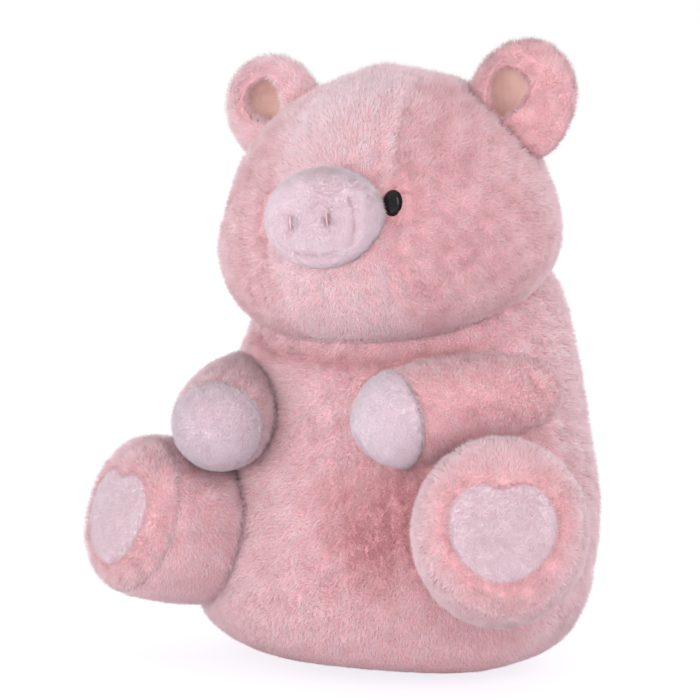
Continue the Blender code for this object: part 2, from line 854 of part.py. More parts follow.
def make_arms():
    for name, side in SIDES.items():
        joint = arm_joint(side)
        frame = axes_frame(joint[0], arm_direction(side), Vector((1, 0, 0)))
        reach = ARM_REACH_LEFT if side > 0 else ARM_REACH_RIGHT
        form = place(
            straight_form(
                "arm_form", ARM_SIDES, ARM_WIDTH, ARM_WIDTH, -ARM_ROOT, reach, ARM_RING_SHARES
            ),
            frame,
        )
        outer = limb_solid(form, BODY_FORM, 0, joint, SHOULDER_BALL)
        inner = limb_solid(form, BODY_FORM, COVER_WALL, joint, SHOULDER_BALL)
        stuffing = limb_solid(form, BODY_FORM, COVER_WALL + LAYER_GAP, joint, SHOULDER_BALL)
        sleeve, tip = split_cover(outer, inner, frame, reach - HAND_LENGTH)
        publish(sleeve, "arm_cover_" + name, "plush", joint[0])
        publish(tip, "hand_tip_" + name, "pale_plush", joint[0])
        publish(stuffing, "arm_stuffing_" + name, "fibre", joint[0])
        discard(form)


def heart_prism(frame):
    """A rounded heart: an oval drawn in towards the bottom, with a shallow notch on top."""
    mesh = bpy.data.meshes.new("heart")
    bm = bmesh.new()
    corners = []
    for step in range(HEART_POINTS):
        angle = math.tau * step / HEART_POINTS
        up = math.sin(angle)
        from_middle = math.cos(angle) / HEART_NOTCH_SPREAD_SHARE
        notch = HEART_NOTCH_SHARE * math.exp(-(from_middle ** 2)) * (up > 0)
        narrow = 1 + HEART_TAPER_SHARE * up
        corners.append(bm.verts.new((
            math.cos(angle) * narrow * HEART_WIDTH / 2,
            (up - notch) * HEART_HEIGHT / 2 - HEART_DROP,
            LEG_REACH - OVERRUN,
        )))
    base = bm.faces.new(corners)
    raised = bmesh.ops.extrude_face_region(bm, geom=[base])
    lift = [item for item in raised["geom"] if isinstance(item, bmesh.types.BMVert)]
    bmesh.ops.translate(bm, verts=lift, vec=(0, 0, OVERRUN * 2))
    bmesh.ops.recalc_face_normals(bm, faces=bm.faces)
    bmesh.ops.triangulate(bm, faces=bm.faces)
    bm.to_mesh(mesh)
    bm.free()
    return place(working_object(mesh, "heart"), frame)


def make_legs():
    for name, side in SIDES.items():
        joint = leg_joint(side)
        # Local X points level and local Y up, so the heart stands upright on the sole
        along = leg_direction(side)
        frame = axes_frame(joint[0], along, Vector((0, 0, 1)).cross(along))
        form = place(
            straight_form(
                "leg_form", LEG_SIDES, LEG_WIDTH, LEG_HEIGHT, -LEG_ROOT, LEG_REACH, LEG_RING_SHARES
            ),
            frame,
        )
        outer = limb_solid(form, BODY_FORM, 0, joint, HIP_BALL)
        inner = limb_solid(form, BODY_FORM, COVER_WALL, joint, HIP_BALL)
        stuffing = limb_solid(form, BODY_FORM, COVER_WALL + LAYER_GAP, joint, HIP_BALL)
        tube_cover, sole = split_cover(outer, inner, frame, LEG_REACH - FOOT_RIM)
        pad = common(heart_prism(frame), copy_of(form, LAYER_GAP + HEART_WALL))
        cut(pad, copy_of(form, LAYER_GAP))
        publish(tube_cover, "leg_cover_" + name, "plush", joint[0])
        publish(sole, "foot_sole_" + name, "plush", joint[0])
        publish(pad, "heart_pad_" + name, "pale_plush", joint[0])
        publish(stuffing, "leg_stuffing_" + name, "fibre", joint[0])
        discard(form)


make_body()
make_closing_seam()
make_tail()
make_eyes()
make_head()
make_snout()
make_ears()
make_arms()
make_legs()
discard(BODY_FORM)
discard(HEAD_FORM)
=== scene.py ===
import json
import math

import bpy
import numpy as np
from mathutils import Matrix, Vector


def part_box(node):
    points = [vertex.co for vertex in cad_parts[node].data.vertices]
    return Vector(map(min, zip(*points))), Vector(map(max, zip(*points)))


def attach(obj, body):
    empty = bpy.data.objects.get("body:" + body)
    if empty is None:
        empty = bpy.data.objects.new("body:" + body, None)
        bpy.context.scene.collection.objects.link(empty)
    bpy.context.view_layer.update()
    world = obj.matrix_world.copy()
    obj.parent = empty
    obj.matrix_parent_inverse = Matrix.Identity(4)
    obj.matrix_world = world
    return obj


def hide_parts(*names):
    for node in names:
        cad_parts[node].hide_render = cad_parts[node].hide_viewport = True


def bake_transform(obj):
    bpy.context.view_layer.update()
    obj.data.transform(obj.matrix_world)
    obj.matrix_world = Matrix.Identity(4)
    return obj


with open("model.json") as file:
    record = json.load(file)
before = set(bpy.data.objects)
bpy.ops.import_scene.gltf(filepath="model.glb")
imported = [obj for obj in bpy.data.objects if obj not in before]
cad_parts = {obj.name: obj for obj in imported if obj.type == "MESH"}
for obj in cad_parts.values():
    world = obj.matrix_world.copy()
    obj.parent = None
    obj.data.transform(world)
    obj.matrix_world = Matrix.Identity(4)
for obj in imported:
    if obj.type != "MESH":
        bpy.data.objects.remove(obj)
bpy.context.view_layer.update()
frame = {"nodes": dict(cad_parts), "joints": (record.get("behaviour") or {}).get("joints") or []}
print("frame loaded:", len(frame["nodes"]), "nodes")

# Helpers

# Each vector divided by its length
def unit(vectors):
    return vectors / np.maximum(np.linalg.norm(vectors, axis=-1, keepdims=True), 1e-12)


# Value at each share along a row of control values: a uniform cubic B-spline, with a made-up value
# beyond each end that lets it reach the end values
def curveThrough(values, shares):
    values = np.asarray(values, float)
    ends = (2 * values[0] - values[1], 2 * values[-1] - values[-2])
    held = np.concatenate([[ends[0]], values, [ends[1]]])
    last = len(values) - 1
    at = np.clip(shares, 0, 1) * last
    start = np.minimum(at.astype(int), last - 1)
    t = at - start
    weights = (
        (1 - t) ** 3 / 6,
        (3 * t ** 3 - 6 * t ** 2 + 4) / 6,
        (-3 * t ** 3 + 3 * t ** 2 + 3 * t + 1) / 6,
        t ** 3 / 6,
    )
    return sum(weight * held[start + k] for k, weight in enumerate(weights))


# Smooth noise of about -1 to 1: sine waves in random directions, added up
def waves(points, size, seed, count=9):
    draw = np.random.default_rng(seed)
    total = np.zeros(len(points))
    for _ in range(count):
        way = unit(draw.normal(size=3)) * math.tau / (size * draw.uniform(0.7, 1.5))
        total += np.sin(points @ way + draw.uniform(0, math.tau))
    return total / math.sqrt(count / 2) * 0.7


# Three such noises side by side, one for each axis
def waveVectors(points, size, seed):
    return np.stack([waves(points, size, seed + k) for k in range(3)], 1)


# Normal of each grid point: the cross product of the ways across and along, outward on a form
# whose rings run counter-clockwise
def gridNormals(rows):
    across = np.roll(rows, -1, 1) - np.roll(rows, 1, 1)
    along = np.gradient(rows, axis=0)
    normals = np.cross(across, along)
    normals[0] = normals[1].mean(0)
    normals[-1] = normals[-2].mean(0)
    return unit(normals)


# A closed form from rings: ring k is x = mx + a cos u, y = my + b sin u at height z, where mx, my, a, b
# and z follow B-splines along the form. Rows are spaced evenly along its side.
def ovalForm(rings, around, along, origin=(0, 0, 0), axes=np.eye(3), puff=0.0):
    samples = 800
    fine = np.linspace(0, 1, samples)
    midX, midY, up, halfX, halfY = (curveThrough(column, fine) for column in zip(*rings))
    step = np.hypot(np.diff(up), np.diff(halfX + halfY) / 2)
    walked = np.concatenate([[0], np.cumsum(step)])
    shares = np.interp(np.linspace(0, walked[-1], along + 1), walked, fine)
    u = np.linspace(0, math.tau, around, endpoint=False)
    x0, y0, z, a, b = (np.interp(shares, fine, c)[:, None] for c in (midX, midY, up, halfX, halfY))
    a[0] = a[-1] = b[0] = b[-1] = 0
    local = np.stack([x0 + a * np.cos(u), y0 + b * np.sin(u), z + 0 * u], 2)
    local = local + gridNormals(local) * puff
    axes = np.array(axes, float)
    rows = local @ axes + np.array(origin)
    rising = np.maximum.accumulate(up) + np.arange(samples) * 1e-9
    return {
        "rows": rows, "local": local, "origin": np.array(origin, float), "axes": axes,
        "up": rising, "halfX": halfX + puff, "halfY": halfY + puff, "midX": midX, "midY": midY,
    }


# Offsets from the form's origin, measured along its own axes
def toLocal(points, form):
    return (points - form["origin"]) @ form["axes"].T


# How far out a point is, where 1 is the form's skin: the length of (x / a, y / b) in the oval at its
# height, and more than 1 past either end
def gauge(points, form):
    local = toLocal(points, form)
    x, y, z = local[..., 0], local[..., 1], local[..., 2]
    at = [np.interp(z, form["up"], form[key]) for key in ("midX", "midY", "halfX", "halfY")]
    out = np.hypot((x - at[0]) / np.maximum(at[2], 1e-6), (y - at[1]) / np.maximum(at[3], 1e-6))
    beyond = np.maximum(form["up"][0] - z, z - form["up"][-1])
    return np.where(beyond > 0, 1 + beyond * 100, out)


# Points inside the host move straight out from its centre to a small gap off its skin, which is found
# by halving the way
def pushOut(points, host, centre, gap=0.0006):
    flat = points.reshape(-1, 3)
    inside = gauge(flat, host) < 1
    centre = np.array(centre, float)
    ray = flat[inside] - centre
    low, high = np.ones(len(ray)), np.full(len(ray), 6.0)
    for _ in range(26):
        middle = (low + high) / 2
        within = gauge(centre + ray * middle[:, None], host) < 1
        low, high = np.where(within, middle, low), np.where(within, high, middle)
    moved = flat.copy()
    moved[inside] = centre + ray * high[:, None] + unit(ray) * gap
    return moved.reshape(points.shape)


# How near each point is to a line of points: the shortest distance to its straight pieces
def nearLine(points, line):
    near = np.full(len(points), 1e9)
    for start, end in zip(np.array(line[:-1], float), np.array(line[1:], float)):
        way = end - start
        t = np.clip((points - start) @ way / (way @ way), 0, 1)
        near = np.minimum(near, np.linalg.norm(points - start - t[:, None] * way, axis=1))
    return near


# Points near a line sink along their normals by depth times a bell curve of their distance from it
def crease(rows, line, width, depth):
    fall = np.exp(-(nearLine(rows.reshape(-1, 3), line) / width) ** 2).reshape(rows.shape[:2])
    return rows - gridNormals(rows) * (fall * depth)[..., None]


# Points move along their normals by the noise times the lumps' height, and the poles by their ring's mean
def lumps(rows, settings, seed):
    shift = waves(rows.reshape(-1, 3), settings["lumpSize"], seed).reshape(rows.shape[:2])
    shift[0], shift[-1] = shift[0].mean(), shift[-1].mean()
    return rows + gridNormals(rows) * (shift * settings["lump"])[..., None]


# Mesh from a stack of rings: quads between rings, and a fan round each pole
def ringMesh(name, rows):
    count, around = rows.shape[0] - 2, rows.shape[1]
    points = np.concatenate([rows[:1, 0], rows[1:-1].reshape(-1, 3), rows[-1:, 0]])
    column = np.arange(around)
    following = (column + 1) % around
    base = 1 + np.arange(count - 1)[:, None] * around
    quads = np.stack([base + column, base + following,
                      base + around + following, base + around + column], 2).reshape(-1, 4)
    top = 1 + (count - 1) * around
    bottomFan = np.stack([np.zeros(around, int), 1 + following, 1 + column], 1)
    topFan = np.stack([top + column, top + following, np.full(around, len(points) - 1)], 1)
    mesh = bpy.data.meshes.new(name)
    mesh.from_pydata(points.tolist(), [], quads.tolist() + bottomFan.tolist() + topFan.tolist())
    mesh.shade_smooth()
    return addPiece(name, mesh)


def addPiece(name, data):
    piece = bpy.data.objects.new(name, data)
    bpy.context.scene.collection.objects.link(piece)
    return piece


# The piece gets its own material
def dress(piece, material):
    piece.data.materials.clear()
    piece.data.materials.append(material)
    return piece


# Materials

# pile colours from root to tip: the roots are painted darker, a painted shade deep in the pile
plushLook = {
    "root": (0.82, 0.43, 0.46), "middle": (0.91, 0.585, 0.625), "tip": (0.955, 0.73, 0.775),
    # the backing's dark tone: painted shade of the deep pile between the strands
    "under": (0.78, 0.40, 0.43),
    "roughness": 0.85, "sheen": 0.22,
}
# the head, the ears and the soles, whose pile stands more and looks a little paler: a darker copy of the
# plush, painted shade so that these parts show no brighter than the more shaded body
crownLook = {
    "root": (0.77, 0.46, 0.49), "middle": (0.85, 0.575, 0.615), "tip": (0.89, 0.71, 0.755),
    "roughness": 0.85, "sheen": 0.22,
}
# the short pale pile: roots and backing painted darker in the same way, as shade
paleLook = {
    "root": (0.76, 0.56, 0.62), "middle": (0.81, 0.65, 0.71), "tip": (0.84, 0.72, 0.78),
    "under": (0.74, 0.54, 0.60),
    "roughness": 0.85, "sheen": 0.2,
}
liningLook = {"light": (0.72, 0.48, 0.43), "dark": (0.58, 0.35, 0.30), "roughness": 0.7, "sheen": 0.3}
# strands: darker and lighter tones across the map, shine and the colour of the sheen
strandTones = ((0.0, (0.70, 0.48, 0.48)), (0.5, (0.97, 0.95, 0.95)), (1.0, (1.05, 1.17, 1.18)))
strandShine = {"middle": 0.45, "specular": 0.15, "sheenRoughness": 0.45, "sheenTint": (1, 0.86, 0.87)}
# cloths and plastics: light tone, dark tone, roughness, scales of the grain and patches, and bump
clothLooks = {
    # the backings take the pile's root and under colours: painted shade seen between the strands
    "plush_backing": (plushLook["root"], plushLook["under"], 0.95, 1400, 90, 0.8),
    "pale_backing": (paleLook["middle"], paleLook["under"], 0.95, 1600, 120, 0.8),
    "ear_lining_cloth": (liningLook["light"], liningLook["dark"], liningLook["roughness"], 1900, 60, 0.5),
    "bag_cloth": ((0.80, 0.80, 0.78), (0.68, 0.68, 0.66), 0.85, 1200, 80, 0.6),
    "fibre_wad": ((0.88, 0.88, 0.86), (0.74, 0.74, 0.72), 0.95, 700, 60, 0.9),
    "thread_pink": ((0.78, 0.44, 0.46), (0.62, 0.30, 0.33), 0.6, 2600, 300, 0.7),
    "thread_pale": ((0.80, 0.56, 0.60), (0.64, 0.40, 0.45), 0.6, 2600, 300, 0.7),
    "eye_gloss": ((0.008, 0.008, 0.009), (0.004, 0.004, 0.005), 0.10, 900, 40, 0.0),
    "washer_plastic": ((0.84, 0.84, 0.82), (0.74, 0.74, 0.72), 0.42, 500, 30, 0.15),
}
clothDetail = {"patches": 4, "grain": 3, "tones": (0.35, 0.65), "bumpDistance": 0.0006}
eyeSpecular = 0.22


def newMaterial(name):
    material = bpy.data.materials.new(name)
    material.use_nodes = True
    nodes, links = material.node_tree.nodes, material.node_tree.links
    return material, nodes, links, nodes["Principled BSDF"]


# A ramp with one colour at each given place
def rampNode(nodes, stops):
    ramp = nodes.new("ShaderNodeValToRGB")
    while len(ramp.color_ramp.elements) < len(stops):
        ramp.color_ramp.elements.new(0.5)
    for element, (place, colour) in zip(ramp.color_ramp.elements, stops):
        element.position = place
        element.color = (*colour, 1)
    return ramp


# Fur: colour along the strand from the map's height, darker or lighter by its tone across, which carries the
# painted light and shade
def furMaterial(name, look):
    material, nodes, links, shader = newMaterial(name)
    strand = nodes.new("ShaderNodeUVMap")
    strand.uv_map = "OFBake"
    split = nodes.new("ShaderNodeSeparateXYZ")
    links.new(strand.outputs["UV"], split.inputs[0])
    stops = ((0.0, look["root"]), (strandShine["middle"], look["middle"]), (1.0, look["tip"]))
    along = rampNode(nodes, stops)
    links.new(split.outputs["Y"], along.inputs["Fac"])
    tone = rampNode(nodes, strandTones)
    links.new(split.outputs["X"], tone.inputs["Fac"])
    both = nodes.new("ShaderNodeMix")
    both.data_type = "RGBA"
    both.blend_type = "MULTIPLY"
    both.inputs["Factor"].default_value = 1
    links.new(along.outputs["Color"], both.inputs["A"])
    links.new(tone.outputs["Color"], both.inputs["B"])
    links.new(both.outputs["Result"], shader.inputs["Base Color"])
    shader.inputs["Roughness"].default_value = look["roughness"]
    shader.inputs["Specular IOR Level"].default_value = strandShine["specular"]
    shader.inputs["Sheen Weight"].default_value = look["sheen"]
    shader.inputs["Sheen Roughness"].default_value = strandShine["sheenRoughness"]
    shader.inputs["Sheen Tint"].default_value = (*strandShine["sheenTint"], 1)
    return material


# Cloth: two tones mixed by noise, with a fine bump of the given size
def clothMaterial(name, light, dark, roughness, grain, patch, bump):
    material, nodes, links, shader = newMaterial(name)
    place = nodes.new("ShaderNodeTexCoord")
    cloud = nodes.new("ShaderNodeTexNoise")
    cloud.inputs["Scale"].default_value = patch
    cloud.inputs["Detail"].default_value = clothDetail["patches"]
    links.new(place.outputs["Object"], cloud.inputs["Vector"])
    tones = rampNode(nodes, tuple(zip(clothDetail["tones"], (dark, light))))
    links.new(cloud.outputs["Fac"], tones.inputs["Fac"])
    links.new(tones.outputs["Color"], shader.inputs["Base Color"])
    fine = nodes.new("ShaderNodeTexNoise")
    fine.inputs["Scale"].default_value = grain
    fine.inputs["Detail"].default_value = clothDetail["grain"]
    links.new(place.outputs["Object"], fine.inputs["Vector"])
    raised = nodes.new("ShaderNodeBump")
    raised.inputs["Strength"].default_value = bump
    raised.inputs["Distance"].default_value = clothDetail["bumpDistance"]
    links.new(fine.outputs["Fac"], raised.inputs["Height"])
    links.new(raised.outputs["Normal"], shader.inputs["Normal"])
    shader.inputs["Roughness"].default_value = roughness
    return material, shader


plushFur = furMaterial("plush_fur", plushLook)
crownFur = furMaterial("crown_fur", crownLook)
paleFur = furMaterial("pale_fur", paleLook)
cloths = {name: clothMaterial(name, *look) for name, look in clothLooks.items()}
plushSkin, paleSkin, liningCloth, bagCloth, fibreWad, threadPink, threadPale, eyeGloss, washerPlastic = (
    material for material, _ in cloths.values())
cloths["ear_lining_cloth"][1].inputs["Sheen Weight"].default_value = liningLook["sheen"]
cloths["eye_gloss"][1].inputs["Specular IOR Level"].default_value = eyeSpecular
print("materials made")


# Fur

# Fur: strands to a square metre, length, half width, and how far each stands, lies and strays
longFur = {
    "density": 3.0e6, "length": 0.0047, "halfWidth": 0.00017, "stand": 0.84, "lie": 0.42,
    "tuft": 0.20, "tuftSize": 0.008, "stray": 0.28, "sink": 0.0004, "mottle": 0.06,
}
shortFur = {
    "density": 4.6e6, "length": 0.0023, "halfWidth": 0.00015, "stand": 0.80, "lie": 0.40,
    "tuft": 0.06, "tuftSize": 0.006, "stray": 0.20, "sink": 0.0003, "mottle": 0.03,
}
# What all pile shares: the least rise off the skin, the spread of lengths, how far the weight presses
# what faces down, how low a tip may reach, the shares of the custom normals, and the range of tones
pile = {
    "leastRise": 0.22, "lengths": (0.72, 1.12), "tuftLength": 0.08, "pressed": 0.45, "lowest": 0.0004,
    "footNormal": (0.75, 0.42), "tipNormal": (0.85, 0.30),
    "toneSize": 0.030, "toneStray": 0.8, "tones": (0.03, 0.97),
}


# The skin's points, their normals and its triangles, as arrays
def skinArrays(piece):
    mesh = piece.data
    mesh.calc_loop_triangles()
    points = np.empty(len(mesh.vertices) * 3, np.float32)
    mesh.vertices.foreach_get("co", points)
    normals = np.empty(len(mesh.vertices) * 3, np.float32)
    mesh.vertex_normals.foreach_get("vector", normals)
    triangles = np.empty(len(mesh.loop_triangles) * 3, np.int32)
    mesh.loop_triangles.foreach_get("vertices", triangles)
    return (points.reshape(-1, 3).astype(float), normals.reshape(-1, 3).astype(float),
            triangles.reshape(-1, 3))


# Roots spread evenly by area: even steps, a little off by chance, along the triangles' summed areas, each
# at a random place on its triangle
def drawRoots(piece, density, seed):
    draw = np.random.default_rng(seed)
    points, normals, triangles = skinArrays(piece)
    a, b, c = (points[triangles[:, k]] for k in range(3))
    areas = np.linalg.norm(np.cross(b - a, c - a), axis=1) / 2
    summed = np.cumsum(areas)
    count = int(summed[-1] * density)
    at = (np.arange(count) + draw.random(count)) / count * summed[-1]
    on = np.minimum(np.searchsorted(summed, at), len(areas) - 1)
    s, t = draw.random(count), draw.random(count)
    over = s + t > 1
    s[over], t[over] = 1 - s[over], 1 - t[over]
    r = 1 - s - t
    corners, shares = triangles[on], (r[:, None], s[:, None], t[:, None])
    roots, facing = (values[corners[:, 0]] * shares[0] + values[corners[:, 1]] * shares[1]
                     + values[corners[:, 2]] * shares[2] for values in (points, normals))
    return roots, unit(facing)


# Each strand is a three-sided needle from root to root + way * length, where way adds the skin's normal,
# the lie of the pile along the skin, the tuft's own lean and a random stray. shade, painted light and shade,
# is added to its tone
def growFur(name, roots, facing, settings, lie, material, seed, shade=0.0, lengths=1.0, lean=1.0):
    draw = np.random.default_rng(seed)
    count = len(roots)
    flow = lie - (lie * facing).sum(1, keepdims=True) * facing
    tufts = waveVectors(roots, settings["tuftSize"], seed + 11)
    strays = draw.normal(size=(count, 3))
    lean = np.broadcast_to(lean, count)[:, None]
    way = unit(facing * settings["stand"] + unit(flow) * settings["lie"] * lean
               + tufts * settings["tuft"] + strays * settings["stray"])
    rising = (way * facing).sum(1, keepdims=True)
    way = unit(way + facing * np.maximum(pile["leastRise"] - rising, 0))
    length = settings["length"] * lengths * draw.uniform(*pile["lengths"], count)
    length = length * (1 + pile["tuftLength"] * tufts[:, 0])
    length *= 1 - pile["pressed"] * np.clip(-facing[:, 2], 0, 1)    # the toy's weight presses the pile below
    side = unit(np.cross(way, draw.normal(size=(count, 3))))
    up = np.cross(way, side)
    foot = roots - facing * settings["sink"]
    thirds = [k * math.tau / 3 for k in range(3)]
    corners = [foot + settings["halfWidth"] * (math.cos(t) * side + math.sin(t) * up) for t in thirds]
    tips = foot + way * length[:, None]
    tips[:, 2] = np.maximum(tips[:, 2], pile["lowest"])
    points = np.stack([*corners, tips], 1)
    radial = [corner - foot for corner in corners]
    (skinShare, sideShare), (tipShare, wayShare) = pile["footNormal"], pile["tipNormal"]
    normals = np.stack([unit(facing * skinShare + unit(out) * sideShare) for out in radial]
                       + [unit(facing * tipShare + way * wayShare)], 1)
    clouds = waves(roots, pile["toneSize"], seed + 3) + tufts[:, 1]
    tone = 0.5 + settings["mottle"] * (clouds + draw.normal(size=count) * pile["toneStray"]) + shade
    tone = np.clip(tone, *pile["tones"])
    base = np.arange(count)[:, None, None] * 4
    faces = base + np.array([[0, 1, 3], [1, 2, 3], [2, 0, 3]])
    mesh = bpy.data.meshes.new(name)
    mesh.vertices.add(count * 4)
    mesh.vertices.foreach_set("co", points.astype(np.float32).ravel())
    mesh.loops.add(count * 9)
    mesh.loops.foreach_set("vertex_index", faces.astype(np.int32).ravel())
    mesh.polygons.add(count * 3)
    mesh.polygons.foreach_set("loop_start", np.arange(0, count * 9, 3, dtype=np.int32))
    mesh.update(calc_edges=True)
    # the map: tone across, a hair to each side so that no triangle is a line, and root to tip upward
    uv = np.empty((count, 3, 3, 2), np.float32)
    for corner, (offset, height) in enumerate(((-0.006, 0.01), (0.006, 0.01), (0.0, 0.99))):
        uv[:, :, corner, 0] = tone[:, None] + offset
        uv[:, :, corner, 1] = height
    mesh.uv_layers.new(name="OFBake").data.foreach_set("uv", uv.ravel())
    mesh.shade_smooth()
    mesh.normals_split_custom_set_from_vertices(normals.reshape(-1, 3).astype(np.float32))
    piece = addPiece(name, mesh)
    dress(piece, material)
    print("  fur", name, count * 3, "triangles")
    return piece


# The same direction for every root
def heading(vector, count):
    return np.tile(np.array(vector, float), (count, 1))


# Whether a level angle in degrees is in one of count even sectors, of which the first is centred on 0
def inSector(around, index, count):
    return np.abs((around - index * 360 / count + 180) % 360 - 180) <= 180 / count


# Forms: the smooth shapes that the skins start from

body = {
    "width": 0.189, "depth": 0.150, "height": 0.193, "puff": 0.0008,
    "around": 144, "along": 96, "lump": 0.0010, "lumpSize": 0.055, "lowShift": -0.0025, "lowReach": 0.15,
    # tone is painted light: the body's pile lighter all over, against the shade of the head and limbs
    "tone": 0.20, "foldShade": 0.45, "seatPile": 0.35, "seatRise": 0.035, "floorGap": 0.0003,
    "headGap": 1.03, "limbOverlap": 0.80, "seatFacing": 0.75, "seatHeight": 0.004, "cowlick": 0.25,
    "pileWave": 0.05,
    # painted shade on the pile beside the near leg and under the arms: place, reach and depth
    "shadeSpots": (
        ((0.020, -0.072, 0.060), 0.024, 0.30), ((0.029, -0.070, 0.072), 0.022, 0.42),
        ((0.040, -0.068, 0.086), 0.018, 0.35), ((0.006, -0.068, 0.090), 0.020, 0.18),
    ),
    # folds under the chin and from it to each shoulder: width, depth, and the points they pass; the pile
    # along them is painted darker as shade
    "folds": (
        (0.0055, 0.0030, ((-0.0620, -0.0250, 0.1500), (-0.0458, -0.0418, 0.1440), (-0.0084, -0.0533, 0.1420),
                          (0.0209, -0.0516, 0.1428), (0.0460, -0.0400, 0.1470), (0.0620, -0.0200, 0.1540))),
        (0.0040, 0.0022, ((0.0230, -0.0600, 0.1340), (0.0400, -0.0500, 0.1360), (0.0560, -0.0350, 0.1430))),
    ),
    # each ring's height, half width, half depth and forward lean, as shares of the sizes
    "rings": (
        (0.000, 0.00, 0.00, 0.00), (0.000, 0.60, 0.55, 0.08), (0.050, 0.86, 0.79, 0.18),
        (0.165, 0.99, 0.97, 0.15), (0.400, 1.00, 1.00, -0.01), (0.640, 0.86, 0.87, -0.04),
        (0.860, 0.765, 0.79, -0.16), (0.970, 0.58, 0.60, -0.20), (1.000, 0.00, 0.00, -0.16),
    ),
}
bodyRings = [
    (body["lowShift"] * max(0, 1 - up / body["lowReach"]), -lean * body["depth"] / 2, up * body["height"],
     wide * body["width"] / 2, deep * body["depth"] / 2)
    for up, wide, deep, lean in body["rings"]
]
bodyForm = ovalForm(bodyRings, body["around"], body["along"], puff=body["puff"])

head = {
    "width": 0.1625, "depth": 0.128, "height": 0.125, "puff": 0.0006,
    "around": 144, "along": 96, "lump": 0.0008, "lumpSize": 0.05,
    "centre": (0.0015, -0.018, 0.210), "tilt": 6,
    # the seams' grooves, and the painted shade in the pile along them
    "seamWidth": 0.0034, "seamDepth": 0.0016, "seamPaintedShade": 0.30, "seamPaintedShadeWidth": 0.0016,
    "bodyOverlap": 0.84, "snoutOverlap": 0.97, "earOverlap": 0.75,
    "pileFall": (0, 0.1, -0.35), "cowlick": 0.3, "pileWave": 0.05,
    # painted light and shade: the forehead's pile lighter, the step down to the side panels' darker pile,
    # and where and how softly it is
    "foreheadPaintedLight": 0.36, "panelShadeStep": 0.50, "panelMiddle": 0.002, "panelAside": 0.027,
    "panelSoft": 0.0024, "panelFade": 0.008,
    # seams of the forehead and cheeks, from the crown over each eye and down beside the snout
    "seams": (
        ((0.0218, -0.0244, 0.2662), (0.0249, -0.0405, 0.2584), (0.0258, -0.0500, 0.2506),
         (0.0273, -0.0576, 0.2412), (0.0290, -0.0639, 0.2305), (0.0306, -0.0679, 0.2207)),
        ((0.0329, -0.0722, 0.2063), (0.0338, -0.0731, 0.2007), (0.0341, -0.0737, 0.1952),
         (0.0334, -0.0742, 0.1891), (0.0314, -0.0740, 0.1812)),
        ((-0.0230, -0.0244, 0.2660), (-0.0245, -0.0405, 0.2560), (-0.0245, -0.0500, 0.2470),
         (-0.0245, -0.0576, 0.2370), (-0.0245, -0.0639, 0.2260), (-0.0245, -0.0690, 0.2160)),
        ((-0.0255, -0.0725, 0.2000), (-0.0262, -0.0737, 0.1920), (-0.0255, -0.0742, 0.1850),
         (-0.0235, -0.0735, 0.1770)),
    ),
    "rings": (
        (0.000, 0.00, 0.00, 0.12), (0.030, 0.46, 0.46, 0.12), (0.140, 0.84, 0.84, 0.07),
        (0.320, 1.00, 1.00, 0.02), (0.540, 0.92, 0.94, -0.02), (0.740, 0.79, 0.83, -0.08),
        (0.920, 0.52, 0.55, -0.12), (1.000, 0.00, 0.00, -0.13),
    ),
}
tilt = math.radians(head["tilt"])
headAxes = ((math.cos(tilt), 0, math.sin(tilt)), (0, 1, 0), (-math.sin(tilt), 0, math.cos(tilt)))
headRings = [
    (0, -lean * head["depth"] / 2, (up - 0.5) * head["height"], wide * head["width"] / 2,
     deep * head["depth"] / 2)
    for up, wide, deep, lean in head["rings"]
]
headForm = ovalForm(headRings, head["around"], head["along"], head["centre"], headAxes, head["puff"])

snout = {
    "width": 0.052, "height": 0.042, "root": 0.012, "reach": 0.019, "puff": 0.0004,
    "place": (0.0038, -0.0769, 0.20723), "around": 72, "along": 40,
    "rings": (
        (0.00, 0.00), (0.00, 0.80), (0.40, 1.04), (0.86, 0.94), (0.99, 0.48), (1.00, 0.00),
    ),
    # the nostrils' dents and the folds' creases, each with painted shade in the pile along it, and the
    # stitches
    "nostrilSpacing": 0.018, "nostrilWidth": 0.0028, "nostrilHeight": 0.0050,
    "nostrilDepth": 0.0036, "nostrilShade": 0.45, "nostrilShadeWidth": 0.0014,
    "nostrilShadeHeight": 0.0038, "stitchLength": 0.0064, "stitchBow": 0.0003, "stitch": 0.00045,
    "foldWidth": 0.0019, "foldDepth": 0.0017, "foldShade": 0.30, "foldShadeWidth": 0.0014,
    "tone": 0.08, "pile": 1.15,
    "folds": (
        ((-0.0045, -0.0925, 0.1935), (0.0005, -0.0930, 0.1915), (0.0055, -0.0925, 0.1925)),
        ((0.0085, -0.0925, 0.1905), (0.0135, -0.0915, 0.1925), (0.0165, -0.0905, 0.1965)),
        ((0.0215, -0.0915, 0.2170), (0.0236, -0.0918, 0.2110), (0.0238, -0.0918, 0.2050),
         (0.0218, -0.0908, 0.1980)),
    ),
}
snoutOut = np.array((0.0, -1.0, 0.0))
snoutAxes = ((0.9945, 0, 0.1045), (-0.1045, 0, 0.9945), tuple(snoutOut))    # tilted as the head is
snoutRings = [
    (0, 0, -snout["root"] + along * (snout["root"] + snout["reach"]),
     share * snout["width"] / 2, share * snout["height"] / 2)
    for along, share in snout["rings"]
]
snoutForm = ovalForm(snoutRings, snout["around"], snout["along"], snout["place"], snoutAxes, snout["puff"])

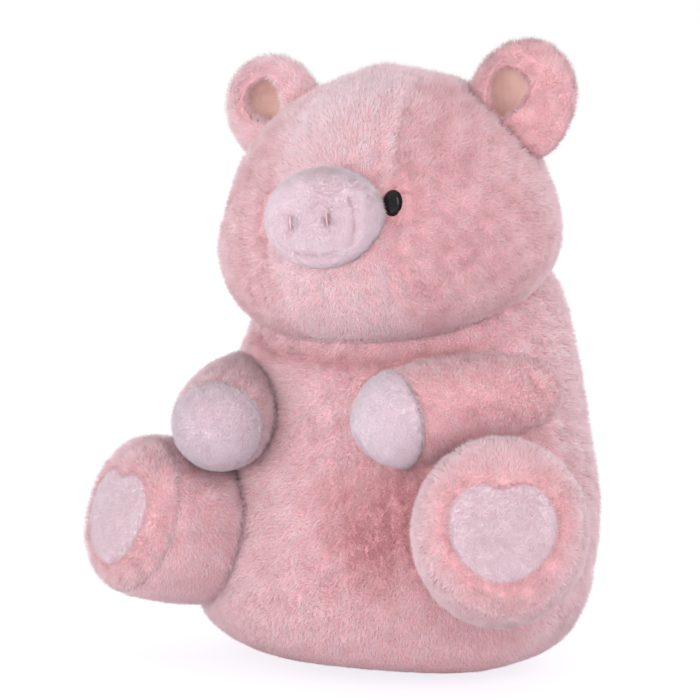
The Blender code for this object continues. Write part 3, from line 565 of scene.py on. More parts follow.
eye = {
    "width": 0.0092, "height": 0.0122, "dome": 0.0042, "shank": 0.0042, "shankLength": 0.010,
    "rim": 0.46, "rimBack": 0.0004, "neckBack": 0.001, "lift": 0.0006, "farthest": 0.012,
    "domeRings": 12, "around": 40,
    # the dent that it sits in
    "socketReach": 1.5, "socketDepth": 0.0014,
    # the pile starts at this share of the eye's rim, and is shorter just past it, with painted shade in the
    # socket
    "clear": 0.92, "pile": (0.42, 0.92), "pileGrowth": 0.40, "socketShade": 0.35, "socketShadeReach": 0.35,
    "leanGrowth": 0.9, "leastLean": 0.05,
    # each eye's place and the way it looks
    "left": ((0.03146, -0.0693, 0.21395), (0.3362, -0.8938, 0.2968)),
    "right": ((-0.02465, -0.07093, 0.20805), (-0.3905, -0.8938, 0.2204)),
}
eyePlaces = {side: (np.array(eye[side][0]), np.array(eye[side][1])) for side in ("left", "right")}
pivots = {joint["name"]: np.array(joint["pos_m"]) for joint in frame["joints"]}


# A limb's form: ovals along its axis from its root, inside the host, to its reach, each a share of the
# limb's width and depth
def limbForm(settings, side, reach, joint, wide, deep, shift=(0, 0, 0)):
    rings = [
        (0, 0, -settings["root"] + along * (settings["root"] + reach), share * wide / 2, share * deep / 2)
        for along, share in settings["rings"]
    ]
    origin = pivots[joint + side] + np.array(shift)
    return ovalForm(rings, settings["around"], settings["along"], origin, settings[side], settings["puff"])


# Axes of a limb that points along a level turn and a fall, in degrees, with x as level as it can be
def limbAxes(turn, fall):
    turn, fall = math.radians(turn), math.radians(fall)
    z = np.array((math.sin(turn) * math.cos(fall), -math.cos(turn) * math.cos(fall), -math.sin(fall)))
    y = unit(np.cross(z, (1, 0, 0)))
    return np.array((np.cross(y, z), y, z))


ear = {
    "width": 0.047, "thickness": 0.024, "root": 0.008, "puff": 0.0006,
    "around": 96, "along": 64,
    "reachOf": {"left": 0.0405, "right": 0.0355},
    "rings": (
        (0.00, 0.00), (0.02, 0.84), (0.32, 1.02), (0.68, 0.96), (0.95, 0.52), (1.00, 0.00),
    ),
    # the hollow: an oval that narrows towards the head, this far up and aside on each ear
    "hollowWidth": 0.019, "hollowHeight": 0.027, "hollowDepth": 0.014, "narrowing": 0.50,
    "hollowAt": {"left": (-0.0045, 0.0140), "right": (0.0035, 0.0115)},
    "lining": 0.0012, "ridge": 0.0007, "ridgeAside": 0.002, "ridgeWidth": 0.0014,
    # painted shade on the near left ear's pile, painted light on the far right one's, painted shade round
    # the hollow
    "tone": {"left": -0.15, "right": 0.22}, "hollowShade": 0.22, "pile": 0.76,
    "headGap": 1.01, "rimReach": 1.6, "cowlick": 0.2, "pileWave": 0.03, "cupAround": 48, "cupAlong": 14,
    "frontSide": 0.002, "bareFrom": 0.14, "deepest": 0.2, "cupBehind": 0.0008,
    # two places along the ear, from its pivot, which the script works out and does not use
    "bend": (-0.002, 0.010),
    # each ear's own axes: across, back and up
    "left": ((0.8898, 0.0523, -0.4534), (-0.0466, 0.9986, 0.0238), (0.4540, 0.0, 0.8910)),
    "right": ((0.7421, -0.0523, 0.6682), (0.0389, 0.9986, 0.0350), (-0.6691, 0.0, 0.7431)),
}
earForms = {side: limbForm(ear, side, ear["reachOf"][side], "ear_fold_", ear["width"], ear["thickness"])
            for side in ("left", "right")}

arm = {
    "width": 0.046, "root": 0.018, "hand": {"left": 0.0185, "right": 0.0225}, "puff": 0.0006,
    "handRise": {"left": 0.0020, "right": 0.0006},
    "around": 72, "along": 56,
    "rings": (
        (0.00, 0.00), (0.03, 0.56), (0.22, 0.85), (0.50, 0.94), (0.74, 0.92), (0.93, 0.67),
        (1.00, 0.00),
    ),
    "turn": {"left": -34, "right": 17}, "fall": {"left": 7, "right": 6},
    "shift": {"left": (-0.0020, -0.0010, 0.0006), "right": (0.0012, 0.0, -0.0015)},
    # tone: painted light, the sleeves' pile lighter against the head's shade, the far right one most
    "tone": {"left": 0.08, "right": 0.26},
    "reachOf": {"left": 0.0805, "right": 0.089},
    "pushFrom": 0.01, "bodyGap": 1.012, "handSink": 0.0016, "handTone": 0.22, "handPile": 1.3,
    "sleevePile": 0.84, "sleeveOver": 0.0008,
    "bend": (-0.004, 0.030),
}
for side in ("left", "right"):
    arm[side] = limbAxes(arm["turn"][side], arm["fall"][side])
armForms = {side: limbForm(arm, side, arm["reachOf"][side], "shoulder_swing_", arm["width"], arm["width"],
                           arm["shift"][side]) for side in ("left", "right")}

leg = {
    "width": 0.070, "root": 0.020, "reach": 0.0595, "rim": 0.011, "puff": 0.0008,
    # tone: painted light on the legs' pile, the far right one more, and more still where the pile faces up
    "heights": {"left": 0.0765, "right": 0.0705}, "tone": {"left": 0.12, "right": 0.22},
    "shift": {"left": (-0.0015, -0.0008, 0.0018), "right": (0.0, 0.0, 0.0)},
    "around": 96, "along": 64, "floorGap": 0.0006, "pile": 0.92, "topPaintedLight": 0.15,
    "soleRise": 0.0004, "soleSink": 0.0016, "groove": 0.0010, "grooveWidth": 0.10,
    "grooveFrom": 0.004, "bend": (-0.006, 0.026),
    # the sole's pile: lengths beside the heart and at the rim, tones with painted shade round the heart, and
    # how far they reach
    "solePile": (0.66, 0.95), "solePileGrowth": 1.2, "soleTone": 0.06, "heartEdgeShade": 0.30,
    "edgeReach": 0.06, "heartRingShade": 0.16, "ringReach": 0.30, "leanGrowth": 3.5, "leastLean": 0.05,
    "bareWithin": 0.99, "bodyGap": 1.012, "soleCentre": 0.02,
    "rings": (
        (0.00, 0.00), (0.04, 0.60), (0.30, 0.95), (0.68, 1.00), (0.92, 0.98), (1.00, 0.56),
        (1.00, 0.00),
    ),
    # each leg's own axes: across, up the sole and out along the leg
    "left": ((0.8829, 0.4695, 0.0), (-0.1451, 0.2728, 0.9511), (0.4465, -0.8397, 0.3090)),
    "right": ((0.8829, -0.4695, 0.0), (0.1294, 0.2434, 0.9613), (-0.4513, -0.8487, 0.2756)),
}
legForms = {side: limbForm(leg, side, leg["reach"], "hip_swing_", leg["width"], leg["heights"][side],
                           leg["shift"][side]) for side in ("left", "right")}
print("forms worked out")

# Body

bodyRows = lumps(bodyForm["rows"], body, 3)
for width, depth, line in body["folds"]:
    bodyRows = crease(bodyRows, line, width, depth)
bodyRows = pushOut(bodyRows, headForm, head["centre"])
bodyRows[..., 2] = np.maximum(bodyRows[..., 2], body["floorGap"])
bodySkin = dress(ringMesh("body_plush", bodyRows), plushSkin)
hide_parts("body_cover", "body_stuffing")
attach(bodySkin, "torso")

roots, facing = drawRoots(bodySkin, longFur["density"], 21)
# no pile under the head, under the limbs' roots or under the seat
shown = gauge(roots, headForm) > body["headGap"]
shown &= ~((facing[:, 2] < -body["seatFacing"]) & (roots[:, 2] < body["seatHeight"]))
for form in (*armForms.values(), *legForms.values()):
    shown &= gauge(roots, form) > body["limbOverlap"]
roots, facing = roots[shown], facing[shown]
around = np.degrees(np.arctan2(roots[:, 0], -roots[:, 1])) % 360
# painted shade: the pile is darker beside the near leg and under the arms, where it is seen against its
# lie, and along the folds; the body's tone paints it lighter all over, against the head's and limbs' shade
shadow = np.full(len(roots), body["tone"])
for spot, reach, depth in body["shadeSpots"]:
    shadow -= depth * np.exp(-(np.linalg.norm(roots - np.array(spot), axis=1) / reach) ** 2)
for width, depth, line in body["folds"]:
    shadow -= body["foldShade"] * np.exp(-(nearLine(roots, line) / width) ** 2)
bodySectors = ("front", "front_left", "back_left", "back", "back_right", "front_right")
for index, part in enumerate(bodySectors):
    here = inSector(around, index, len(bodySectors))
    sway = waveVectors(roots[here], body["pileWave"], 90)
    lie = heading((0, 0, -1), here.sum()) + body["cowlick"] * sway
    # short where the seat spreads
    low = np.clip(body["seatPile"] + roots[here][:, 2] / body["seatRise"], body["seatPile"], 1)
    piece = growFur("body_fur_" + part, roots[here], facing[here], longFur, lie, plushFur,
                    31 + index, shade=shadow[here], lengths=low)
    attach(piece, "torso")
print("body made")

# Bag of pellets in the seat, and the ball of fibre in the neck

inside = {
    "around": 64, "along": 32,
    # the bag's rings: height and width, as shares of its solid's box
    "bagRings": ((0.0, 0.0), (0.0, 0.60), (0.30, 0.97), (0.80, 0.88), (1.0, 0.46), (1.0, 0.0)),
    "neckAround": 48, "neckRings": 9, "neckPuff": 1.03,
}
bagLow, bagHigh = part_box("seat_pellet_bag")
bagSize = bagHigh - bagLow
bagRings = [(0, 0, bagLow.z + up * bagSize.z, share * bagSize.x / 2, share * bagSize.y / 2)
            for up, share in inside["bagRings"]]
bagForm = ovalForm(bagRings, inside["around"], inside["along"])
bag = dress(ringMesh("pellet_bag", bagForm["rows"]), bagCloth)
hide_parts("seat_pellet_bag")
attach(bag, "torso")

neckLow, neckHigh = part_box("neck_stuffing")
neckMiddle, neckRadius = (neckLow + neckHigh) / 2, (neckHigh.x - neckLow.x) / 2
turns = np.linspace(-math.pi / 2, math.pi / 2, inside["neckRings"])
neckRings = [(neckMiddle.x, neckMiddle.y, neckMiddle.z + neckRadius * inside["neckPuff"] * math.sin(t),
              neckRadius * inside["neckPuff"] * math.cos(t), neckRadius * inside["neckPuff"] * math.cos(t))
             for t in turns]
neckForm = ovalForm(neckRings, inside["neckAround"], inside["along"])
neckWad = dress(ringMesh("neck_wad", neckForm["rows"]), fibreWad)
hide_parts("neck_stuffing")
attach(neckWad, "neck")

# Head

# Share of the way from an eye's middle to its oval rim
def eyeShare(points, place, out):
    aside = unit(np.cross((0, 0, 1), out))
    away = points - place
    near = np.hypot(away @ aside / (eye["width"] / 2), away @ np.cross(out, aside) / (eye["height"] / 2))
    return near + 100 * (np.linalg.norm(away, axis=1) > eye["farthest"])


headRows = lumps(headForm["rows"], head, 5)
for line in head["seams"]:
    headRows = crease(headRows, line, head["seamWidth"], head["seamDepth"])
for place, out in eyePlaces.values():
    near = eyeShare(headRows.reshape(-1, 3), place, out).reshape(headRows.shape[:2])
    dent = np.exp(-(near / eye["socketReach"]) ** 4) * eye["socketDepth"]
    headRows = headRows - gridNormals(headRows) * dent[..., None]
headSkin = dress(ringMesh("head_plush", headRows), plushSkin)
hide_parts("head_cover", "head_stuffing")
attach(headSkin, "head")


# Painted shade in the grooves of the head's seams: a bell curve of the distance from each
def seamShade(points):
    return -head["seamPaintedShade"] * sum(
        np.exp(-(nearLine(points, line) / head["seamPaintedShadeWidth"]) ** 2) for line in head["seams"])


# Painted light and shade: the forehead's pile lighter and the side panels', whose pile lies back, darker,
# as light falls on them; a soft step across each seam, which fades out behind the ears
def panelShade(points):
    local = toLocal(points, headForm)
    aside = np.abs(local[:, 0] - head["panelMiddle"])
    ahead = 1 / (1 + np.exp(local[:, 1] / head["panelFade"]))
    beside = 1 + np.exp(-(aside - head["panelAside"]) / head["panelSoft"])
    return (head["foreheadPaintedLight"] - head["panelShadeStep"] / beside) * ahead


roots, facing = drawRoots(headSkin, longFur["density"], 22)
shown = (gauge(roots, bodyForm) > head["bodyOverlap"]) & (gauge(roots, snoutForm) > head["snoutOverlap"])
for form in earForms.values():
    shown &= gauge(roots, form) > head["earOverlap"]
for place, out in eyePlaces.values():
    shown &= eyeShare(roots, place, out) > eye["clear"]
roots, facing = roots[shown], facing[shown]
around = np.degrees(np.arctan2(roots[:, 0], -(roots[:, 1] - head["centre"][1]))) % 360
seamPaintedShade, panelPaintedShade = seamShade(roots), panelShade(roots)
headSectors = ("front", "left", "back", "right")
for index, part in enumerate(headSectors):
    here = inSector(around, index, len(headSectors))
    # away from the snout, and down
    fromSnout = unit(roots[here] - np.array(snout["place"]))
    sway = waveVectors(roots[here], head["pileWave"], 91)
    lie = fromSnout + heading(head["pileFall"], here.sum()) + head["cowlick"] * sway
    nearEye = np.min([eyeShare(roots[here], *eyePlace) for eyePlace in eyePlaces.values()], axis=0)
    past = nearEye - eye["clear"]
    shortest, longest = eye["pile"]
    shortened = np.clip(shortest + past * eye["pileGrowth"], shortest, longest)
    leaning = np.clip(past * eye["leanGrowth"], eye["leastLean"], 1)
    # painted shade in the socket round the eye
    eyeSocketShade = -eye["socketShade"] * np.exp(-(past / eye["socketShadeReach"]) ** 2)
    piece = growFur("head_fur_" + part, roots[here], facing[here], longFur, lie, crownFur,
                    41 + index, shade=seamPaintedShade[here] + panelPaintedShade[here] + eyeSocketShade, lengths=shortened,
                    lean=leaning)
    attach(piece, "head")
print("head made")

# Snout

snoutRows = snoutForm["rows"].copy()
local = toLocal(snoutRows, snoutForm)
for side in (-1, 1):
    across = (local[..., 0] - side * snout["nostrilSpacing"] / 2) / snout["nostrilWidth"]
    upward = local[..., 1] / snout["nostrilHeight"]
    dent = np.exp(-across ** 2 - upward ** 2) * (local[..., 2] > snout["reach"] * 0.5)
    snoutRows -= gridNormals(snoutForm["rows"]) * (dent * snout["nostrilDepth"])[..., None]
for line in snout["folds"]:
    snoutRows = crease(snoutRows, line, snout["foldWidth"], snout["foldDepth"])
snoutSkin = dress(ringMesh("snout_plush", snoutRows), paleSkin)
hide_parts("snout_cover", "snout_stuffing")
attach(snoutSkin, "head")

roots, facing = drawRoots(snoutSkin, shortFur["density"], 23)
shown = gauge(roots, headForm) > head["snoutOverlap"]
roots, facing = roots[shown], facing[shown]
lie = roots - np.array(snout["place"]) + heading((0, 0, -0.01), len(roots))
# painted shade in the pile along the folds and in the nostril dents
dark = -snout["foldShade"] * sum(
    np.exp(-(nearLine(roots, line) / snout["foldShadeWidth"]) ** 2) for line in snout["folds"])
local = toLocal(roots, snoutForm)
for side in (-1, 1):
    across = (local[:, 0] - side * snout["nostrilSpacing"] / 2) / snout["nostrilShadeWidth"]
    upward = local[:, 1] / snout["nostrilShadeHeight"]
    inFront = local[:, 2] > snout["reach"] * 0.5
    dark -= snout["nostrilShade"] * np.exp(-across ** 2 - upward ** 2) * inFront
snoutFur = growFur("snout_fur", roots, facing, shortFur, lie, paleFur, 51,
                   shade=dark + snout["tone"], lengths=snout["pile"])
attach(snoutFur, "head")


# A thread along points: rings of a round tube at right angles to the line
def threadRows(points, radii, around=10):
    points, radii = np.array(points, float), np.array(radii, float)
    way = unit(np.gradient(points, axis=0))
    aside = unit(np.cross(way, (0.31, 0.21, 0.93)))
    up = np.cross(way, aside)
    u = np.linspace(0, math.tau, around, endpoint=False)[None, :, None]
    return points[:, None] + radii[:, None, None] * (np.cos(u) * aside[:, None] + np.sin(u) * up[:, None])


for name in ("left", "right"):
    low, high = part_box("nostril_stitch_" + name)
    middle = np.array((low + high) / 2)
    steps = np.linspace(-1, 1, 13)
    line = middle + steps[:, None] * np.array(snoutAxes[1]) * (snout["stitchLength"] / 2)
    line += snoutOut * snout["stitchBow"] * (1 - steps[:, None] ** 2)
    radii = snout["stitch"] * np.sqrt(np.maximum(1 - steps ** 2, 0))
    stitch = ringMesh("nostril_thread_" + name, threadRows(line, radii))
    dress(stitch, threadPale)
    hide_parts("nostril_stitch_" + name)
    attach(stitch, "head")

# Eyes: a dome on a shank, and the washers that hold them inside

for name, (place, out) in eyePlaces.items():
    aside = unit(np.cross((0, 0, 1), out))
    upward = np.cross(out, aside)
    turns = np.linspace(0, math.pi / 2, eye["domeRings"])
    shank = eye["shank"] / 2
    # rings of the shank, the back of the rim and the dome: height, half width and half height
    rings = [(-eye["shankLength"], 0, 0), (-eye["shankLength"], shank, shank),
             (-eye["neckBack"], shank, shank),
             (-eye["rimBack"], eye["width"] * eye["rim"], eye["height"] * eye["rim"])]
    rings += [(math.sin(t) * eye["dome"], math.cos(t) * eye["width"] / 2, math.cos(t) * eye["height"] / 2)
              for t in turns]
    rise, halfX, halfY = (column[:, None] for column in np.array(rings).T)
    u = np.linspace(0, math.tau, eye["around"], endpoint=False)
    local = np.stack([halfX * np.cos(u), halfY * np.sin(u), rise + 0 * u], 2)
    rows = local @ np.array((aside, upward, out)) + place + out * eye["lift"]
    dome = ringMesh("eye_dome_" + name, rows)
    dress(dome, eyeGloss)
    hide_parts("eye_" + name)
    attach(dome, "head")
    washer = frame["nodes"]["eye_washer_" + name]
    for slot in washer.material_slots:
        slot.material = washerPlastic
print("face made")

# Ears

# How far inside the hollow's oval a place on the ear is: 1 in its middle and 0 on its edge, where the
# oval is wider by a share of the height over its middle
def hollowDip(local, middle):
    up = (local[..., 2] - middle[1]) * 2 / ear["hollowHeight"]
    wide = ear["hollowWidth"] / 2 * (1 + ear["narrowing"] * np.clip(up, -1, 1))
    return 1 - ((local[..., 0] - middle[0]) / wide) ** 2 - up ** 2


for name in ("left", "right"):
    form, hollow = earForms[name], ear["hollowAt"][name]
    local = toLocal(form["rows"], form)
    dip = hollowDip(local, hollow)
    bowl = -ear["thickness"] / 2 + ear["hollowDepth"] * np.sqrt(np.clip(dip, 0, 1))
    front = (local[..., 1] < 0) & (dip > 0)
    deepest = ear["thickness"] * ear["deepest"]
    sunk = np.maximum(local[..., 1], np.minimum(bowl, deepest))
    local[..., 1] = np.where(front, sunk, local[..., 1])
    rows = pushOut(local @ form["axes"] + form["origin"], headForm, head["centre"])
    skin = dress(ringMesh("ear_plush_" + name, rows), plushSkin)
    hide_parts("ear_back_" + name)
    roots, facing = drawRoots(skin, longFur["density"], 61)
    local = toLocal(roots, form)
    dip = hollowDip(local, hollow)
    inFront = local[:, 1] < ear["frontSide"]
    shown = ~(inFront & (dip > ear["bareFrom"])) & (gauge(roots, headForm) > ear["headGap"])
    roots, facing, local, dip, inFront = (
        values[shown] for values in (roots, facing, local, dip, inFront))
    # the pile lies towards the tip behind, and into the hollow round its rim
    inward = np.stack([hollow[0] - local[:, 0], 0 * dip, hollow[1] - local[:, 2]], 1)
    rim = (inFront * np.clip(ear["rimReach"] + dip, 0, 1))[:, None]
    lie = (unit(inward) * rim + np.array((0, 0, 1)) * (1 - rim)) @ form["axes"]
    lie += ear["cowlick"] * waveVectors(roots, ear["pileWave"], 92)
    # painted light and shade by side, and painted shade round the hollow
    nearHollow = ear["tone"][name] - ear["hollowShade"] * np.clip(1 + dip * 3, 0, 1) * inFront
    fur = growFur("ear_fur_" + name, roots, facing, longFur, lie, crownFur, 63, shade=nearHollow,
                  lengths=ear["pile"])

    # The lining: a bowl over the hollow, radius by angle, as deep as the hollow less its own thickness
    u = np.linspace(0, math.tau, ear["cupAround"], endpoint=False)
    out = np.linspace(0, 1.0, ear["cupAlong"])[:, None]
    x = out * np.cos(u) * ear["hollowWidth"] / 2 * (1 + ear["narrowing"] * out * np.sin(u)) + hollow[0]
    z = out * np.sin(u) * ear["hollowHeight"] / 2 + hollow[1]
    sunk = (ear["hollowDepth"] - ear["lining"]) * np.sqrt(np.clip(1 - out ** 2, 0, 1))
    deep = -ear["thickness"] / 2 + sunk + 0 * u
    halfX, halfY = (np.interp(z, form["up"], form[key]) for key in ("halfX", "halfY"))
    ahead = ear["cupBehind"] - halfY * np.sqrt(np.clip(1 - (x / np.maximum(halfX, 1e-6)) ** 2, 0, 1))
    inner = np.stack([x, np.clip(deep, ahead, deepest), z], 2)
    fold = np.exp(-((x - hollow[0] - ear["ridgeAside"]) / ear["ridgeWidth"]) ** 2) * (out < 0.9)
    inner[..., 1] += ear["ridge"] * fold
    outer = inner + np.array((0, ear["lining"], 0))
    cup = np.concatenate([inner, outer[::-1]])
    rows = pushOut(cup @ form["axes"] + form["origin"], headForm, head["centre"])
    lining = dress(ringMesh("ear_cup_" + name, rows), liningCloth)
    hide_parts("ear_lining_" + name)
    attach(lining, "ear_" + name)
    along = Vector(form["axes"][2])
    pivot = Vector(pivots["ear_fold_" + name])
    low, high = (pivot + along * place for place in ear["bend"])
    for piece in (skin, fur):
        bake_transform(piece)
print("ears made")


# The cap of a form past a seam, as a closed cloth shell: its rings from the seam to the pole, lifted off
# the form, and back again underneath
def capRows(form, seamAt, rise, sink):
    local, rows = form["local"], form["rows"]
    first = int(np.argmax(local[:, :, 2].mean(1) >= seamAt))
    outward = gridNormals(rows)
    outer = rows[first:] + outward[first:] * rise
    inner = rows[first:] - outward[first:] * sink
    edge = (outer[:1] + inner[:1]) / 2 - form["axes"][2] * (rise + sink) / 3
    return np.concatenate([inner[::-1], edge, outer])


# The piece's place is baked into its mesh
def seamTo(piece):
    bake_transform(piece)


# Arms

for name in ("left", "right"):
    form, limb = armForms[name], "arm_" + name
    rows = pushOut(form["rows"], bodyForm, (0, arm["pushFrom"], form["origin"][2]))
    skin = dress(ringMesh("sleeve_plush_" + name, rows), plushSkin)
    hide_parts("arm_cover_" + name, "arm_stuffing_" + name)
    seamAt = arm["reachOf"][name] - arm["hand"][name]
    rows = capRows(form, seamAt, arm["handRise"][name], arm["handSink"])
    hand = dress(ringMesh("hand_plush_" + name, rows), paleSkin)
    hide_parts("hand_tip_" + name)
    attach(hand, limb)

    roots, facing = drawRoots(skin, longFur["density"], 71)
    beforeSeam = toLocal(roots, form)[:, 2] < seamAt + arm["sleeveOver"]
    shown = beforeSeam & (gauge(roots, bodyForm) > arm["bodyGap"])
    roots, facing = roots[shown], facing[shown]
    lie = heading(form["axes"][2], len(roots)) + heading((0, 0, -0.4), len(roots))
    # painted light on the sleeve's pile
    fur = growFur("sleeve_fur_" + name, roots, facing, longFur, lie, plushFur, 73,
                  shade=arm["tone"][name], lengths=arm["sleevePile"])
    roots, facing = drawRoots(hand, shortFur["density"], 72)
    shown = (facing * (roots - form["origin"] - form["axes"][2] * seamAt)).sum(1) > 0
    roots, facing = roots[shown], facing[shown]
    lie = heading(form["axes"][2], len(roots)) + heading((0, 0, -0.5), len(roots))
    tipFur = growFur("hand_fur_" + name, roots, facing, shortFur, lie, paleFur, 75,
                     shade=arm["handTone"], lengths=arm["handPile"])
    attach(tipFur, limb)
    for piece in (skin, fur):
        seamTo(piece)
print("arms made")


heart = {
    "width": 0.046, "height": 0.045, "drop": 0.002, "rise": 0.0012, "sink": 0.0012, "lift": 0.0004,
    "notch": 0.20, "taper": 0.12, "notchSpread": 0.3, "around": 72, "along": 10, "pile": 1.15,
}


# Heart: radius by angle of an oval that narrows downward, with a shallow notch on top
def heartOutline(u):
    up = np.sin(u)
    notch = heart["notch"] * np.exp(-(np.cos(u) / heart["notchSpread"]) ** 2) * (up > 0)
    x = np.cos(u) * (1 + heart["taper"] * up) * heart["width"] / 2
    y = (up - notch) * heart["height"] / 2
    return x, y


# Share of the way from the heart's middle to its outline, by angle
def inHeart(x, y):
    u = np.linspace(-math.pi, math.pi, 361)
    edgeX, edgeY = heartOutline(u)
    angle = np.arctan2(edgeY, edgeX)
    order = np.argsort(angle)
    reach = np.interp(np.arctan2(y, x), angle[order], np.hypot(edgeX, edgeY)[order], period=math.tau)
    return np.hypot(x, y) / reach


# Height of the sole over the form's own plane at a place on it, from the profile past its widest ring
def soleHeight(form, height, x, y):
    share = np.hypot(x / (leg["width"] / 2), y / (height / 2))
    late = form["up"] > leg["reach"] * 0.6
    wide = form["halfX"][late] / (leg["width"] / 2)
    return np.interp(share, wide[::-1], form["up"][late][::-1])


# Legs

for name in ("left", "right"):
    form, limb = legForms[name], "leg_" + name
    rows = pushOut(form["rows"], bodyForm, (0, 0.0, form["origin"][2]))
    rows[..., 2] = np.maximum(rows[..., 2], leg["floorGap"])
    skin = dress(ringMesh("leg_plush_" + name, rows), plushSkin)
    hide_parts("leg_cover_" + name, "leg_stuffing_" + name)
    seamAt = leg["reach"] - leg["rim"]
    rows = capRows(form, seamAt, leg["soleRise"], leg["soleSink"])
    # a groove round the heart
    local = toLocal(rows, form)
    within = inHeart(local[..., 0], local[..., 1] + heart["drop"])
    edge = np.exp(-((within - 1) / leg["grooveWidth"]) ** 2)
    outer = local[..., 2] > seamAt + leg["grooveFrom"]
    rows -= form["axes"][2] * (edge * leg["groove"] * outer)[..., None]
    sole = dress(ringMesh("sole_plush_" + name, rows), plushSkin)
    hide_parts("foot_sole_" + name)
    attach(sole, limb)

    roots, facing = drawRoots(skin, longFur["density"], 81)
    local = toLocal(roots, form)
    shown = (local[:, 2] < seamAt) & (gauge(roots, bodyForm) > leg["bodyGap"])
    roots, facing = roots[shown], facing[shown]
    lie = heading(form["axes"][2] * 0.4, len(roots)) + heading((0, 0, -0.8), len(roots))
    # painted light on the leg's pile, lightest where it faces up
    fur = growFur("leg_fur_" + name, roots, facing, longFur, lie, plushFur, 83,
                  shade=leg["tone"][name] + leg["topPaintedLight"] * np.clip(facing[:, 2], 0, 1),
                  lengths=leg["pile"])

    roots, facing = drawRoots(sole, longFur["density"], 82)
    local = toLocal(roots, form)
    outside = (facing * (roots - form["origin"] - form["axes"][2] * (seamAt - leg["soleCentre"]))).sum(1) > 0
    within = inHeart(local[:, 0], local[:, 1] + heart["drop"])
    shown = outside & (within > leg["bareWithin"])
    roots, facing, local, within = roots[shown], facing[shown], local[shown], within[shown]
    radial = local * np.array((1, 1, 0))
    lie = unit(radial) @ form["axes"] + heading((0, 0, -0.3), len(roots))
    past = within - 1
    shortest, longest = leg["solePile"]
    shortened = np.clip(shortest + past * leg["solePileGrowth"], shortest, longest)
    leaning = np.clip(past * leg["leanGrowth"], leg["leastLean"], 1)
    # painted shade on the pile round the heart's edge, where the pile stands over it
    edge = leg["soleTone"] - leg["heartEdgeShade"] * np.exp(-(past / leg["edgeReach"]) ** 2)
    edge = edge - leg["heartRingShade"] * np.exp(-(past / leg["ringReach"]) ** 2)
    soleFur = growFur("sole_fur_" + name, roots, facing, longFur, lie, crownFur, 85, shade=edge,
                      lengths=shortened, lean=leaning)
    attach(soleFur, limb)

    # The pad: rings of shrinking hearts, domed a little over the sole and closed underneath
    u = np.linspace(0, math.tau, heart["around"], endpoint=False)
    edgeX, edgeY = heartOutline(u)
    share = np.concatenate([np.linspace(0, 1, heart["along"]), np.linspace(1, 0, heart["along"])])[:, None]
    top = np.repeat([0, 1], heart["along"])[:, None]
    x, y = share * edgeX, share * edgeY - heart["drop"]
    z = soleHeight(form, leg["heights"][name], x, y) + np.where(
        top, heart["lift"] + heart["rise"] * np.sqrt(np.clip(1 - share ** 4, 0, 1)), -heart["sink"])
    padRows = np.stack([x, y, z], 2) @ form["axes"] + form["origin"]
    pad = dress(ringMesh("heart_plush_" + name, padRows), paleSkin)
    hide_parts("heart_pad_" + name)
    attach(pad, limb)
    roots, facing = drawRoots(pad, shortFur["density"], 86)
    shown = (facing @ form["axes"][2]) > 0.2
    roots, facing = roots[shown], facing[shown]
    padFur = growFur("heart_fur_" + name, roots, facing, shortFur, heading((0, 0, -1), len(roots)),
                     paleFur, 87, lengths=heart["pile"])
    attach(padFur, limb)
    for piece in (skin, fur):
        seamTo(piece)
print("legs made")

# Tail: a stem straight out of the back, then one rising curl of a tube that gets thinner

tail = {
    "stem": 0.014, "tube": 0.0085, "curlRadius": 0.0085, "curlRise": 0.012, "curlTurn": 300,
    "taper": 0.5, "around": 20, "curlSteps": 40, "stemSteps": 8, "cap": 0.8, "pile": 0.45,
    "bend": (0.001, 0.006),
}
start = pivots["tail_wag"]
bend = start + np.array((0, tail["stem"], 0))
middle = bend + np.array((tail["curlRadius"], tail["tube"] / 2, 0))
t = np.linspace(0, 1, tail["curlSteps"])
turn = np.radians(180 - tail["curlTurn"] * t)
curl = middle + np.stack([np.cos(turn), np.sin(turn), 0 * t], 1) * tail["curlRadius"]
curl[:, 2] += tail["curlRise"] * t
stem = start + (bend - start) * np.linspace(0, 1, tail["stemSteps"])[:, None]
line = np.concatenate([stem, curl])
thick = tail["tube"] / 2 * np.concatenate([np.ones(tail["stemSteps"]), 1 - tail["taper"] * t])
thick[0] = 0
line = np.concatenate([line[:1], line, line[-1:] + unit(line[-1] - line[-2]) * thick[-1] * tail["cap"]])
thick = np.concatenate([[0], [tail["tube"] / 2], thick[1:], [0]])
tailSkin = dress(ringMesh("tail_plush", threadRows(line, thick, tail["around"])), plushSkin)
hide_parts("tail")
roots, facing = drawRoots(tailSkin, longFur["density"], 95)
shown = gauge(roots, bodyForm) > 1.0
roots, facing = roots[shown], facing[shown]
tailFur = growFur("tail_fur", roots, facing, longFur, heading((0, 0.6, -0.4), len(roots)), plushFur,
                  96, lengths=tail["pile"])
for piece in (tailSkin, tailFur):
    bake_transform(piece)

# Closing seam: one thread in ladder stitches up the back, on the skin
seam = {
    "bottom": 0.072, "step": 0.006, "stitches": 6, "halfWidth": 0.0012,
    "thread": 0.0005, "steps": 80, "from": 0.02, "middle": 0.088,
}
steps = np.arange(seam["stitches"] * 2)
heights = seam["bottom"] + seam["step"] * (steps // 2)
aside = seam["halfWidth"] * np.where((steps + 1) // 2 % 2, 1, -1)
knots = np.stack([aside, np.full(len(steps), seam["from"]), heights], 1)
stitchLine = pushOut(knots, bodyForm, (0, 0.0, seam["middle"]))
fine = np.linspace(0, len(steps) - 1, seam["steps"])
stitchLine = np.stack([np.interp(fine, steps, stitchLine[:, k]) for k in range(3)], 1)
thickness = np.full(seam["steps"], seam["thread"])
thickness[[0, -1]] = 0
thread = dress(ringMesh("closing_thread", threadRows(stitchLine, thickness)), threadPink)
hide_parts("closing_seam_thread")
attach(thread, "torso")
print("tail and seam made")


# Stage, light and camera

